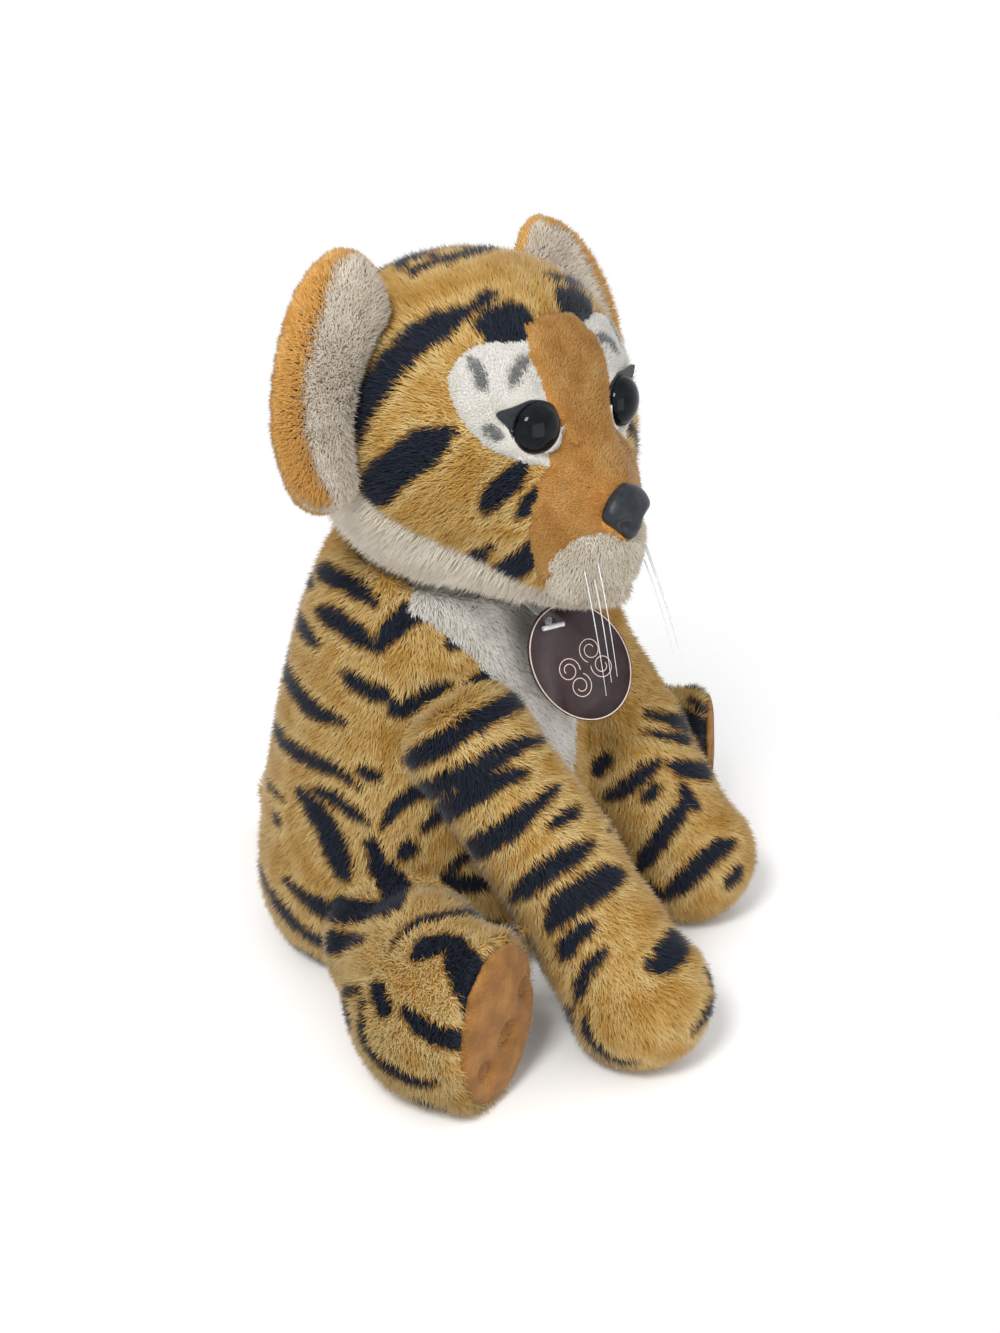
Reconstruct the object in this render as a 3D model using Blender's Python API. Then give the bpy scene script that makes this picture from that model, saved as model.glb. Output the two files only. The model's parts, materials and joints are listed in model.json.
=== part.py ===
"""Sitting plush tiger cub: sewn plush skins over stuffing, safety eyes and nose, a hang tag.

Metres, +Z up. The cub faces -Y and its right side is -X. The origin is the centre of the flat seat.
"""
import math

import bmesh
import bpy
from mathutils import Matrix, Vector

# Cloth, stuffing and fits
PLUSH = 0.0025  # wall of a long-pile skin: backing and packed pile together
SUEDE = 0.0018  # wall of the suede soles
SEAM = 0.0003  # gap between two pieces that touch
RUB = 0.0004  # running gap at the neck
POCKET_ROOM = 0.0009  # lets the facets of a limb's root turn in its pocket
OVERRUN = 0.020  # how far a cutter runs past what it cuts

# Torso: a pear on a flat seat, lofted through five stations
SEAT_HALF_WIDTH = 0.040
SEAT_HALF_DEPTH = 0.040
BELLY_HALF_WIDTH = 0.055
BELLY_HALF_DEPTH = 0.0515
BELLY_HEIGHT = 0.034
RIB_HALF_WIDTH = 0.048
RIB_HALF_DEPTH = 0.0455
RIB_HEIGHT = 0.085
SHOULDER_HALF_WIDTH = 0.042
SHOULDER_HALF_DEPTH = 0.0365
SHOULDER_HEIGHT = 0.118
NAPE_HALF_WIDTH = 0.034
NAPE_HALF_DEPTH = 0.030
NAPE_HEIGHT = 0.134
TORSO_TOP_HALF_WIDTH = 0.026
TORSO_TOP_HALF_DEPTH = 0.023
TORSO_TOP_HEIGHT = 0.146
CHEST_FORWARD = 0.002  # how far the chest leans in front of the seat
SIDE_SEAM_FORWARD = 0.009  # the side seams run this far in front of the torso's middle
SEAT_PANEL_HALF_WIDTH = 0.036
SEAT_PANEL_HALF_DEPTH = 0.034
SEAT_PANEL_RISE = 0.006
BIB_HALF_WIDTH = 0.038  # the chest panel at the neck
BIB_POINT_HEIGHT = 0.058  # the chest panel's lower point

# Head: a ball on the neck, fuller at the brow and cheeks, with a deep muzzle
HEAD_FORWARD = 0.017
HEAD_HEIGHT = 0.1765
HEAD_TURN = math.radians(-17.5)
HEAD_TILT = math.radians(5)  # the right ear is the higher one
HEAD_HALF_WIDTH = 0.0515
HEAD_CROWN = 0.049
HEAD_FACE = 0.0435
HEAD_BACK = 0.0505
HEAD_UNDER = 0.0495
BROW_POWER = 2.10  # above the middle the head is a little boxier than an ellipsoid
MUZZLE_HEIGHT = 0.0245
CHEEK_HEIGHT = 0.0025
BROW_HEIGHT = 0.0010
NECK_HOLE_RADIUS = 0.022
NECK_PLUG_RADIUS = 0.018
NECK_PLUG_THICK = 0.004
RUFF_RISE = math.radians(30)  # slope of the ruff's upper edge, rising to the back
RUFF_DROP = 0.0093  # the ruff's edge below the head's middle, over the centre
RUFF_END = 0.012  # the ruff ends this far behind the head's middle
EYE_OUT = 0.0190
EYE_UP = 0.012
EYE_RADIUS = 0.0075
EYE_DOME = 0.0052
EYE_SINK = 0.0014  # recess of an eye, or the nose, in the pile
EYE_TURN = math.radians(17)
EYE_TILT = math.radians(5)
STEM_RADIUS = 0.0022
STEM_LENGTH = 0.012
WASHER_RADIUS = 0.0075
WASHER_THICK = 0.0014
LINER_THICK = 0.0008
NOSE_HALF_WIDTH = 0.0090
NOSE_HALF_HEIGHT = 0.0072
NOSE_DEPTH = 0.0060
NOSE_DROP = 0.0115
NOSTRIL_RADIUS = 0.0018
PAD_HALF_WIDTH = 0.0097
PAD_HALF_HEIGHT = 0.0098
PAD_DROP = 0.0262
CHIN_HALF_WIDTH = 0.013
CHIN_HALF_HEIGHT = 0.0065
CHIN_DROP = 0.0405
WHISKER_RADIUS = 0.00035
WHISKER_LENGTH = 0.032
WHISKER_SAG = 0.006
WHISKER_SINK = 0.0038  # length of a whisker inside the pad

# Ears: a cupped back with a lining inside its rim, sewn along a straight base
EAR_BASE_OUT = 0.0455
EAR_BASE_BACK = 0.005
EAR_BASE_UP = 0.018
EAR_HALF_HEIGHT = 0.0395
EAR_HALF_WIDTH = 0.0185
EAR_OFFSET = 0.0075  # the ear's middle lies this far outside its base line
LEFT_EAR_DROP = 0.006  # the left ear is sewn on lower than the right one
EAR_CUP = 0.0095
EAR_BACK_THICK = 0.0024
EAR_LINING_THICK = 0.0020
EAR_RIM = 0.0022
EAR_GAP = 0.0008  # room for the base edge to roll when the ear folds

# Forelegs, hind legs and tail, each with a ball at its root
SHOULDER_OUT = 0.037
SHOULDER_FORWARD = 0.033
SHOULDER_UP = 0.090
SHOULDER_BALL = 0.0205
ELBOW_UP = 0.058
ELBOW_RADIUS = 0.0200
WRIST_UP = 0.031
WRIST_RADIUS = 0.0180
PAW_UP = 0.0196
PAW_HALF_WIDTH = 0.0205
PAW_HALF_HEIGHT = 0.0212
PAW_ROUND = 0.019
NEAR_PAW_FORWARD = 0.091
NEAR_PAW_OUT = 0.043
FAR_PAW_FORWARD = 0.076
FAR_PAW_OUT = 0.037
HIP_OUT = 0.052
HIP_FORWARD = 0.016
HIP_UP = 0.0250
HIP_BALL = 0.0235
NEAR_SHANK_OUT = 0.072
FAR_SHANK_OUT = 0.0745
SHANK_FORWARD = 0.037
NEAR_FOOT_OUT = 0.083
NEAR_FOOT_FORWARD = 0.061
FAR_FOOT_OUT = 0.085
FAR_FOOT_FORWARD = 0.063
FOOT_HALF_WIDTH = 0.0210
NEAR_FOOT_UP = 0.0280
NEAR_FOOT_HALF_HEIGHT = 0.0285
FAR_FOOT_UP = 0.0260
FAR_FOOT_HALF_HEIGHT = 0.0265
SOLE_CROWN = 0.0020
TOE_DENT_RADIUS = 0.0045
TAIL_ASIDE = 0.012
TAIL_BACK = 0.047
TAIL_UP = 0.0135
TAIL_BALL = 0.0120
TAIL_RADIUS = 0.0105
TAIL_REACH = 0.079
FORELEG_SWING = math.radians(-30)  # about X, lifting the paw
LEG_SWING = math.radians(-15)
TAIL_SWING = math.radians(40)  # about Z, away from the body

# Hang tag and its nylon fastener
TAG_OUT = 0.0050
TAG_ABOVE_SHOULDER = 0.0045  # the tag's hole over the widest part of the shoulders
TAG_STAND = 0.0150  # card to chest at the hole
TAG_HALF_LENGTH = 0.0215
TAG_HALF_WIDTH = 0.0150
TAG_THICK = 0.0008
TAG_TURN = math.radians(-38)
TAG_LEAN = math.radians(20)
TAG_TIP = math.radians(9)  # the card's lower end stands off the chest
TAG_HOLE_RADIUS = 0.0015
TAG_HOLE_EDGE = 0.0038
TIE_RADIUS = 0.0006
TIE_BAR = 0.0035

# Facets
TORSO_SIDES = 20
HEAD_SIDES = 22
HEAD_BANDS = 13
LIMB_SIDES = 12
ROUND_SIDES = 14
SMALL_SIDES = 8
DISH_SIDES = 24
BALL_ANGLES = (15, 38, 62, 88, 112)
RIM_ANGLE = 38  # a limb's skin starts at this angle from the back of its root ball

HEAD_CENTRE = Vector((0, -HEAD_FORWARD, HEAD_HEIGHT))
NECK_DISH = HEAD_UNDER + RUB  # the torso's hollow for the head
INSET = PLUSH + SEAM  # stuffing lies this far inside the outer face of a skin
TAG_UP = SHOULDER_HEIGHT + TAG_ABOVE_SHOULDER

# Outlines of the face panels seen from the front, as shares of the head's half width and crown
BRIDGE_SHARES = (
    (0.00, 0.80), (0.20, 0.77), (0.29, 0.62), (0.28, 0.44), (0.25, 0.27), (0.26, 0.12), (0.36, 0.00),
    (0.44, -0.19), (0.46, -0.42), (0.40, -0.65), (0.23, -0.79), (0.00, -0.83),
)
PATCH_SHARES = (
    (0.12, 0.62), (0.34, 0.70), (0.54, 0.68), (0.69, 0.55), (0.72, 0.36), (0.65, 0.18), (0.50, 0.08),
    (0.30, 0.03), (0.12, 0.06),
)
# Toe dents of a sole as shares of its half sizes, across toward the body's middle and up
TOE_SHARES = ((0.62, 0.50), (0.10, -0.18), (-0.38, -0.66))
# Eye liner as shares of the eye's radius: a ring with one point up and outward, one down the nose
LINER_SHARES = (
    (-1.20, 0.62), (-0.62, 1.12), (0.20, 1.24), (0.90, 1.30), (1.22, 0.55), (1.18, -0.20), (0.72, -0.98),
    (0.00, -1.22), (-0.85, -1.14), (-1.72, -1.30), (-1.30, -0.35),
)
# Root places of the whiskers on a muzzle pad, as shares of its half sizes, with the length's share
WHISKER_SHARES = ((0.15, -0.10, 0.9), (0.45, -0.35, 1.0), (0.20, -0.62, 0.8))
# Bumps on the head: azimuth and elevation in degrees, spreads in degrees, and the height
HEAD_BUMPS = (
    (0, -31, 24, 34, MUZZLE_HEIGHT),
    (62, -18, 28, 25, CHEEK_HEIGHT),
    (-62, -18, 28, 25, CHEEK_HEIGHT),
    (20, 34, 20, 16, BROW_HEIGHT),
    (-20, 34, 20, 16, BROW_HEIGHT),
)
CHIN_FADE = (33, 48)  # degrees from straight down between which the bumps fade in
UNDER_FADE = (57, 78)  # degrees from straight down between which the ball on the neck ends


def clear_scene():
    for item in list(bpy.data.objects):
        bpy.data.objects.remove(item, do_unlink=True)


def finish_material(name, colour, roughness, metallic=0.0):
    """A Principled material from an sRGB colour."""
    material = bpy.data.materials.new(name)
    material.use_nodes = True
    shader = material.node_tree.nodes["Principled BSDF"]
    linear = [((c + 0.055) / 1.055) ** 2.4 if c > 0.04045 else c / 12.92 for c in colour]
    shader.inputs["Base Color"].default_value = (*linear, 1.0)
    shader.inputs["Roughness"].default_value = roughness
    shader.inputs["Metallic"].default_value = metallic
    material.diffuse_color = (*linear, 1.0)
    return material


def pivot(name, place=Vector(), turn=Matrix.Identity(3), parent=None):
    """An empty on a joint, given in its parent's axes."""
    empty = bpy.data.objects.new(name, None)
    bpy.context.collection.objects.link(empty)
    empty.parent = parent
    empty.matrix_local = Matrix.Translation(place) @ turn.to_4x4()
    return empty


def solid(name, shape, material, parent):
    """One sub-part from a bmesh, smooth where it is round."""
    mesh = bpy.data.meshes.new(name)
    bmesh.ops.recalc_face_normals(shape, faces=shape.faces)
    shape.to_mesh(mesh)
    shape.free()
    mesh.shade_smooth()
    mesh.set_sharp_from_angle(angle=math.radians(40))
    mesh.materials.append(material)
    item = bpy.data.objects.new(name, mesh)
    bpy.context.collection.objects.link(item)
    item.parent = parent
    return item


def cutter(name, shape, parent):
    """A hidden shape that only cuts others."""
    mesh = bpy.data.meshes.new(name)
    bmesh.ops.recalc_face_normals(shape, faces=shape.faces)
    shape.to_mesh(mesh)
    shape.free()
    item = bpy.data.objects.new(name, mesh)
    bpy.context.collection.objects.link(item)
    item.parent = parent
    item.hide_render = True
    item.display_type = "WIRE"
    return item


def wall(item, thickness, side=-1):
    """Give an open or closed sheet its wall: -1 inward, 1 outward."""
    solidify = item.modifiers.new("wall", "SOLIDIFY")
    solidify.thickness = thickness
    solidify.offset = side
    solidify.use_even_offset = True
    return item


def combine(item, operation, tools):
    for tool in tools:
        boolean = item.modifiers.new(tool.name, "BOOLEAN")
        boolean.operation = operation
        boolean.solver = "EXACT"
        boolean.object = tool
    return item


def cut(item, *tools):
    return combine(item, "DIFFERENCE", tools)


def keep(item, *tools):
    return combine(item, "INTERSECT", tools)


def smooth_step(value, low, high):
    share = min(max((value - low) / (high - low), 0), 1)
    return share * share * (3 - 2 * share)


def through(points, share):
    """A point on the smooth curve through a list of vectors, share running from 0 to 1."""
    spans = len(points) - 1
    index = min(int(share * spans), spans - 1)
    t = share * spans - index
    before = points[max(index - 1, 0)]
    start, end = points[index], points[index + 1]
    after = points[min(index + 2, spans)]
    slope_in = (end - before) / 2
    slope_out = (after - start) / 2
    return (
        start * (2 * t**3 - 3 * t**2 + 1) + slope_in * (t**3 - 2 * t**2 + t)
        + end * (3 * t**2 - 2 * t**3) + slope_out * (t**3 - t**2)
    )


def loft(rings, sides, first_open=False, last_open=False):
    """Extrude a unit circle from ring to ring. A ring is the matrix that places the unit circle."""
    shape = bmesh.new()
    bmesh.ops.create_circle(shape, cap_ends=False, segments=sides, radius=1)
    bmesh.ops.transform(shape, matrix=rings[0], verts=shape.verts)
    edges = list(shape.edges)
    first = edges
    for before, after in zip(rings, rings[1:]):
        geometry = bmesh.ops.extrude_edge_only(shape, edges=edges)["geom"]
        verts = [part for part in geometry if isinstance(part, bmesh.types.BMVert)]
        edges = [part for part in geometry if isinstance(part, bmesh.types.BMEdge)]
        bmesh.ops.transform(shape, matrix=after @ before.inverted(), verts=verts)
    if not first_open:
        bmesh.ops.edgeloop_fill(shape, edges=first)
    if not last_open:
        bmesh.ops.edgeloop_fill(shape, edges=edges)
    bmesh.ops.triangulate(shape, faces=shape.faces)
    return shape


def shrunk(shape, by):
    """Move every face inward by a distance, outward when negative."""
    bmesh.ops.recalc_face_normals(shape, faces=shape.faces)
    shape.normal_update()
    moves = [(vert, vert.normal * vert.calc_shell_factor() * by) for vert in shape.verts]
    for vert, move in moves:
        vert.co -= move
    return shape


def ring(centre, side, up, half_width, half_height):
    """The matrix of one ring from its centre, two axes and two half sizes."""
    ahead = side.cross(up)
    columns = (side * half_width, up * half_height, ahead)
    matrix = Matrix.Identity(4)
    for column, axis in enumerate(columns):
        for row in range(3):
            matrix[row][column] = axis[row]
    matrix.translation = centre
    return matrix


def level_ring(height, half_width, half_depth, back=0.0):
    return ring(Vector((0, back, height)), Vector((1, 0, 0)), Vector((0, 1, 0)), half_width, half_depth)


def turned(profile, sides=ROUND_SIDES):
    """A body of revolution about Z from (radius, height) points, closed on the axis at both ends."""
    shape = bmesh.new()
    verts = [shape.verts.new((radius, 0, height)) for radius, height in profile]
    edges = [shape.edges.new(pair) for pair in zip(verts, verts[1:])]
    bmesh.ops.spin(
        shape, geom=verts + edges, cent=(0, 0, 0), axis=(0, 0, 1), angle=math.tau, steps=sides, use_merge=True,
    )
    bmesh.ops.remove_doubles(shape, verts=shape.verts, dist=SEAM / 10)
    return shape


def ball(radius, sides=ROUND_SIDES):
    shape = bmesh.new()
    bmesh.ops.create_uvsphere(shape, u_segments=sides, v_segments=sides * 3 // 4, radius=radius)
    return shape


def box(low, high):
    shape = bmesh.new()
    bmesh.ops.create_cube(shape, size=1)
    size = Vector(high) - Vector(low)
    bmesh.ops.scale(shape, vec=size, verts=shape.verts)
    bmesh.ops.translate(shape, vec=(Vector(high) + Vector(low)) / 2, verts=shape.verts)
    return shape


def grown(outline, by):
    """An outline of (across, up) points moved outward by a distance, inward when negative."""
    moved = []
    count = len(outline)
    area = sum(a[0] * b[1] - b[0] * a[1] for a, b in zip(outline, outline[1:] + outline[:1]))
    sign = 1 if area > 0 else -1
    for index, point in enumerate(outline):
        ahead = Vector(outline[(index + 1) % count]) - Vector(outline[index - 1])
        normal = Vector((ahead.y, -ahead.x)).normalized() * sign
        moved.append((point[0] + normal.x * by, point[1] + normal.y * by))
    return moved


def rounded(outline, steps):
    """A closed smooth outline through the given points."""
    count = len(outline)
    points = [Vector((x, y, 0)) for x, y in outline]
    closed = [points[(index - 1) % count] for index in range(count + 3)]
    curve = []
    for span in range(count):
        for step in range(steps):
            share = (span + 1 + step / steps) / (count + 2)
            curve.append(tuple(through(closed, share)[:2]))
    return curve


def oval(centre_x, centre_y, half_width, half_height, sides=ROUND_SIDES):
    turns = [math.tau * index / sides for index in range(sides)]
    return [(centre_x + half_width * math.cos(turn), centre_y + half_height * math.sin(turn)) for turn in turns]


def prism(outline, matrix, depth):
    """Extrude a flat outline along its own +Z by a depth, then place it."""
    shape = bmesh.new()
    face = shape.faces.new([shape.verts.new((x, y, 0)) for x, y in outline])
    extruded = bmesh.ops.extrude_face_region(shape, geom=[face])["geom"]
    verts = [part for part in extruded if isinstance(part, bmesh.types.BMVert)]
    bmesh.ops.translate(shape, vec=(0, 0, depth), verts=verts)
    bmesh.ops.transform(shape, matrix=matrix, verts=shape.verts)
    return shape


def frontal(start, depth_axis=-1):
    """Places a flat outline upright, across X and up Z, facing -Y, from the plane Y = start."""
    return Matrix(((1, 0, 0, 0), (0, 0, depth_axis, start), (0, 1, 0, 0), (0, 0, 0, 1)))


# Torso

def torso_section(height):
    """Half width, half depth and centre of the torso at a height."""
    if height < BELLY_HEIGHT:
        rise = math.sqrt(max(1 - ((BELLY_HEIGHT - height) / BELLY_HEIGHT) ** 2, 0))
        return (
            SEAT_HALF_WIDTH + (BELLY_HALF_WIDTH - SEAT_HALF_WIDTH) * rise,
            SEAT_HALF_DEPTH + (BELLY_HALF_DEPTH - SEAT_HALF_DEPTH) * rise,
            0.0,
        )
    stations = (
        Vector((BELLY_HEIGHT, BELLY_HALF_WIDTH, BELLY_HALF_DEPTH)),
        Vector((RIB_HEIGHT, RIB_HALF_WIDTH, RIB_HALF_DEPTH)),
        Vector((SHOULDER_HEIGHT, SHOULDER_HALF_WIDTH, SHOULDER_HALF_DEPTH)),
        Vector((NAPE_HEIGHT, NAPE_HALF_WIDTH, NAPE_HALF_DEPTH)),
        Vector((TORSO_TOP_HEIGHT, TORSO_TOP_HALF_WIDTH, TORSO_TOP_HALF_DEPTH)),
    )
    for low, high in zip(range(4), range(1, 5)):
        if height <= stations[high].x:
            break
    share = (height - stations[low].x) / (stations[high].x - stations[low].x)
    section = through(stations, (low + share) / 4)
    back = -CHEST_FORWARD * smooth_step(height, BELLY_HEIGHT, RIB_HEIGHT)
    return section.y, section.z, back


def torso_shape():
    heights = [BELLY_HEIGHT * (1 - math.cos(math.radians(angle))) for angle in (0, 34, 62, 90)]
    steps = 7
    rise = TORSO_TOP_HEIGHT - BELLY_HEIGHT
    heights += [BELLY_HEIGHT + rise * (index + 1) / steps for index in range(steps)]
    rings = []
    for height in heights:
        half_width, half_depth, back = torso_section(height)
        rings.append(level_ring(height, half_width, half_depth, back))
    return loft(rings, TORSO_SIDES)


def bib_outline(gap):
    """The chest panel from the front: wide under the chin, narrowing to a soft point."""
    rise = TORSO_TOP_HEIGHT - BIB_POINT_HEIGHT
    shares = ((0.00, 0.00), (0.12, 0.04), (0.34, 0.25), (0.66, 0.58), (1.00, 0.88), (1.10, 1.20))
    right = [(x * BIB_HALF_WIDTH, BIB_POINT_HEIGHT + z * rise) for x, z in shares]
    left = [(-x, z) for x, z in reversed(right[1:])]
    return grown(right + left, -gap)


def torso_cutters(body):
    """Shapes that part the torso's skin into its panels."""
    seam = -SIDE_SEAM_FORWARD
    reach = BELLY_HALF_DEPTH + OVERRUN
    top = TORSO_TOP_HEIGHT + OVERRUN
    half = SEAM / 2
    seat = level_ring(-OVERRUN, SEAT_PANEL_HALF_WIDTH, SEAT_PANEL_HALF_DEPTH)
    seat_top = level_ring(SEAT_PANEL_RISE, SEAT_PANEL_HALF_WIDTH, SEAT_PANEL_HALF_DEPTH)
    tight = level_ring(-OVERRUN, SEAT_PANEL_HALF_WIDTH - SEAM, SEAT_PANEL_HALF_DEPTH - SEAM)
    tight_top = level_ring(SEAT_PANEL_RISE, SEAT_PANEL_HALF_WIDTH - SEAM, SEAT_PANEL_HALF_DEPTH - SEAM)
    deep = frontal(-SHOULDER_HALF_DEPTH / 3)
    deeper = frontal(-SHOULDER_HALF_DEPTH / 3 - SEAM)
    return {
        "back": cutter("back_half", box((-reach, seam + half, -OVERRUN), (reach, reach, top)), body),
        "right": cutter("right_front", box((-reach, -reach, -OVERRUN), (-half, seam - half, top)), body),
        "left": cutter("left_front", box((half, -reach, -OVERRUN), (reach, seam - half, top)), body),
        "seat": cutter("seat_hole", loft([seat, seat_top], TORSO_SIDES), body),
        "seat_tight": cutter("seat_disc", loft([tight, tight_top], TORSO_SIDES), body),
        "bib": cutter("bib_hole", prism(bib_outline(0.0), deep, reach), body),
        "bib_tight": cutter("bib_form", prism(bib_outline(SEAM), deeper, reach), body),
    }


# Limbs

def limb_rings(centre, ball_radius, path, tip_round=0.0):
    """Rings of a stuffed limb: a ball about its joint, a tube through the path's stations, a round tip.

    A station is a point with a half width and a half height.
    """
    points = [centre] + [station[0] for station in path]
    widths = [Vector((ball_radius, ball_radius, 0))] + [Vector((station[1], station[2], 0)) for station in path]
    ahead = (points[1] - points[0]).normalized()

    def axes(direction):
        side = direction.cross(Vector((0, 0, 1))).normalized()
        return side, side.cross(direction)

    side, up = axes(ahead)
    rings = []
    for angle in BALL_ANGLES:
        turn = math.radians(angle)
        middle = centre - ahead * ball_radius * math.cos(turn)
        rings.append(ring(middle, side, up, ball_radius * math.sin(turn), ball_radius * math.sin(turn)))
    steps = len(path) + 3
    for step in range(2, steps + 1):
        share = step / steps
        middle = through(points, share)
        direction = (through(points, min(share + 0.02, 1)) - through(points, share - 0.02)).normalized()
        width = through(widths, share)
        side, up = axes(direction)
        rings.append(ring(middle, side, up, width.x, width.y))
    if tip_round:
        for angle in (30, 56, 76):
            turn = math.radians(angle)
            out = middle + direction * tip_round * math.sin(turn)
            rings.append(ring(out, side, up, width.x * math.cos(turn), width.y * math.cos(turn)))
    return rings, middle, direction


def rest_on_floor(shape, floor):
    """Flatten whatever would reach below a height."""
    for vert in shape.verts:
        vert.co.z = max(vert.co.z, floor)
    return shape


def sleeve(rings, closed_tip):
    """The outer face of a limb, open behind its root ball and, for a leg, at its sole."""
    shape = loft(rings, LIMB_SIDES)
    verts = list(shape.verts)
    if not closed_tip:
        last = set(verts[-LIMB_SIDES:])
        caps = [face for face in shape.faces if last.issuperset(face.verts)]
        bmesh.ops.delete(shape, geom=caps, context="FACES")
    first = BALL_ANGLES.index(RIM_ANGLE)
    bmesh.ops.delete(shape, geom=verts[: first * LIMB_SIDES], context="VERTS")
    return shape


def swept(rings, axis, angle):
    """All the room that the root of a limb passes through, in one convex shape."""
    shape = bmesh.new()
    for share in (0, 1 / 2, 1):
        room = shrunk(loft(rings, LIMB_SIDES), -POCKET_ROOM)
        bmesh.ops.transform(room, matrix=Matrix.Rotation(angle * share, 4, axis), verts=room.verts)
        for vert in room.verts:
            shape.verts.new(vert.co)
        room.free()
    hull = bmesh.ops.convex_hull(shape, input=shape.verts)
    inner = {part for part in hull["geom_interior"] + hull["geom_unused"] if isinstance(part, bmesh.types.BMVert)}
    bmesh.ops.delete(shape, geom=list(inner), context="VERTS")
    return shape


def limb(name, place, ball_radius, path, swing, tip_round, material, stuffing, body, pocket_rings=None):
    """A sleeve of plush open at its root, the stuffing inside it, and the cutter of its pocket.

    swing is the axis and the full angle of its joint: the pocket lets the limb through on its way.
    pocket_rings is how many of its rings lie in the pocket.
    """
    joint = pivot(name + "_joint", place, parent=body)
    local = [(point - place, half_width, half_height) for point, half_width, half_height in path]
    rings, end, ahead = limb_rings(Vector(), ball_radius, local, tip_round)
    outer = rest_on_floor(sleeve(rings, tip_round > 0), -place.z)
    skin = wall(solid(name + "_skin", outer, material, joint), PLUSH)
    filling = shrunk(rest_on_floor(loft(rings, LIMB_SIDES), -place.z), INSET)
    core = solid(name + "_stuffing", filling, stuffing, joint)
    hole = cutter(name + "_pocket", swept(rings[:pocket_rings], *swing), joint)
    return {"joint": joint, "skin": skin, "core": core, "pocket": hole, "end": end, "ahead": ahead}


def foreleg(side, reach, out, materials, body):
    """side is -1 for the cub's right."""
    place = Vector((side * SHOULDER_OUT, -SHOULDER_FORWARD, SHOULDER_UP))
    paw = Vector((side * out, -reach, PAW_UP))
    elbow = Vector((side * (SHOULDER_OUT + out) / 2, -(SHOULDER_FORWARD + reach) / 2, ELBOW_UP))
    wrist = elbow.lerp(paw, 2 / 3)
    wrist.z = WRIST_UP
    path = (
        (elbow, ELBOW_RADIUS, ELBOW_RADIUS),
        (wrist, WRIST_RADIUS, WRIST_RADIUS),
        (paw, PAW_HALF_WIDTH, PAW_HALF_HEIGHT),
    )
    name = "foreleg_R" if side < 0 else "foreleg_L"
    swing = ("X", FORELEG_SWING)
    return limb(name, place, SHOULDER_BALL, path, swing, PAW_ROUND, materials["plush"], materials["stuffing"], body)


def leg(side, shank_out, foot_out, reach, up, half_height, materials, body):
    place = Vector((side * HIP_OUT, -HIP_FORWARD, HIP_UP))
    shank = Vector((side * shank_out, -SHANK_FORWARD, up))
    foot = Vector((side * foot_out, -reach, up))
    path = ((shank, HIP_BALL, half_height), (foot, FOOT_HALF_WIDTH, half_height))
    name = "leg_R" if side < 0 else "leg_L"
    made = limb(name, place, HIP_BALL, path, ("X", LEG_SWING), 0.0, materials["plush"], materials["stuffing"], body)
    made["sole"] = sole("sole_R" if side < 0 else "sole_L", side, made, place, half_height, materials["suede"])
    return made


def sole(name, side, made, place, half_height, material):
    """A suede oval over the end of the leg, with three toe dents along its upper edge."""
    ahead = made["ahead"]
    across = ahead.cross(Vector((0, 0, 1))).normalized()
    up = across.cross(ahead)
    start = made["end"] + ahead * SEAM
    half_width = FOOT_HALF_WIDTH
    rings = []
    for share, out in ((1.0, 0.0), (1.0, SUEDE), (0.8, SUEDE + SOLE_CROWN * 0.7), (0.35, SUEDE + SOLE_CROWN)):
        rings.append(ring(start + ahead * out, across, up, half_width * share, half_height * share))
    shape = rest_on_floor(loft(rings, LIMB_SIDES + 4), -place.z)
    item = solid(name, shape, material, made["joint"])
    for index, (inward, rise) in enumerate(TOE_SHARES):
        dent = ball(TOE_DENT_RADIUS, SMALL_SIDES)
        middle = start + across * half_width * inward * side + up * half_height * rise
        middle += ahead * (SUEDE + SOLE_CROWN / 2 + TOE_DENT_RADIUS * 0.75)
        bmesh.ops.translate(dent, vec=middle, verts=dent.verts)
        cut(item, cutter(f"{name}_dent_{index}", dent, made["joint"]))
    return item


def tail(materials, body):
    place = Vector((TAIL_ASIDE, TAIL_BACK, TAIL_UP))
    points = []
    for degrees in (68, 46, 26, 11):
        turn = math.radians(degrees)
        points.append(Vector((TAIL_REACH * math.cos(turn), TAIL_REACH * math.sin(turn), TAIL_RADIUS)))
    points[0] = Vector((TAIL_REACH * 0.30, TAIL_REACH * 0.84, TAIL_UP))
    path = [(point, TAIL_RADIUS, TAIL_RADIUS) for point in points]
    swing = ("Z", TAIL_SWING)
    return limb("tail", place, TAIL_BALL, path, swing, TAIL_RADIUS, materials["plush"], materials["stuffing"], body, 7)


# Head

def head_turn():
    return Matrix.Rotation(HEAD_TURN, 3, "Z") @ Matrix.Rotation(HEAD_TILT, 3, "Y")


def head_radius(direction):
    """Distance from the head's centre to its outer face along a unit direction in the head's axes."""
    x, y, z = direction
    down = math.degrees(math.acos(min(max(-z, -1), 1)))
    power = 2 + (BROW_POWER - 2) * smooth_step(z, -0.3, 0.3)
    depth = HEAD_FACE + (HEAD_BACK - HEAD_FACE) * smooth_step(y, -0.35, 0.35)
    base = (
        abs(x / HEAD_HALF_WIDTH) ** power + abs(y / depth) ** power + abs(z / HEAD_CROWN) ** power
    ) ** (-1 / power)
    under = 1 - smooth_step(down, *UNDER_FADE)
    radius = base + (HEAD_UNDER - base) * under
    azimuth = math.degrees(math.atan2(x, -y))
    elevation = math.degrees(math.asin(min(max(z, -1), 1)))
    fade = smooth_step(down, *CHIN_FADE)
    for middle, rise, spread, spread_up, height in HEAD_BUMPS:
        aside = (azimuth - middle) * math.cos(math.radians(elevation))
        radius += height * fade * math.exp(-((aside / spread) ** 2) - ((elevation - rise) / spread_up) ** 2)
    return radius


def head_point(direction):
    unit = Vector(direction).normalized()
    return unit * head_radius(unit)


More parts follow.
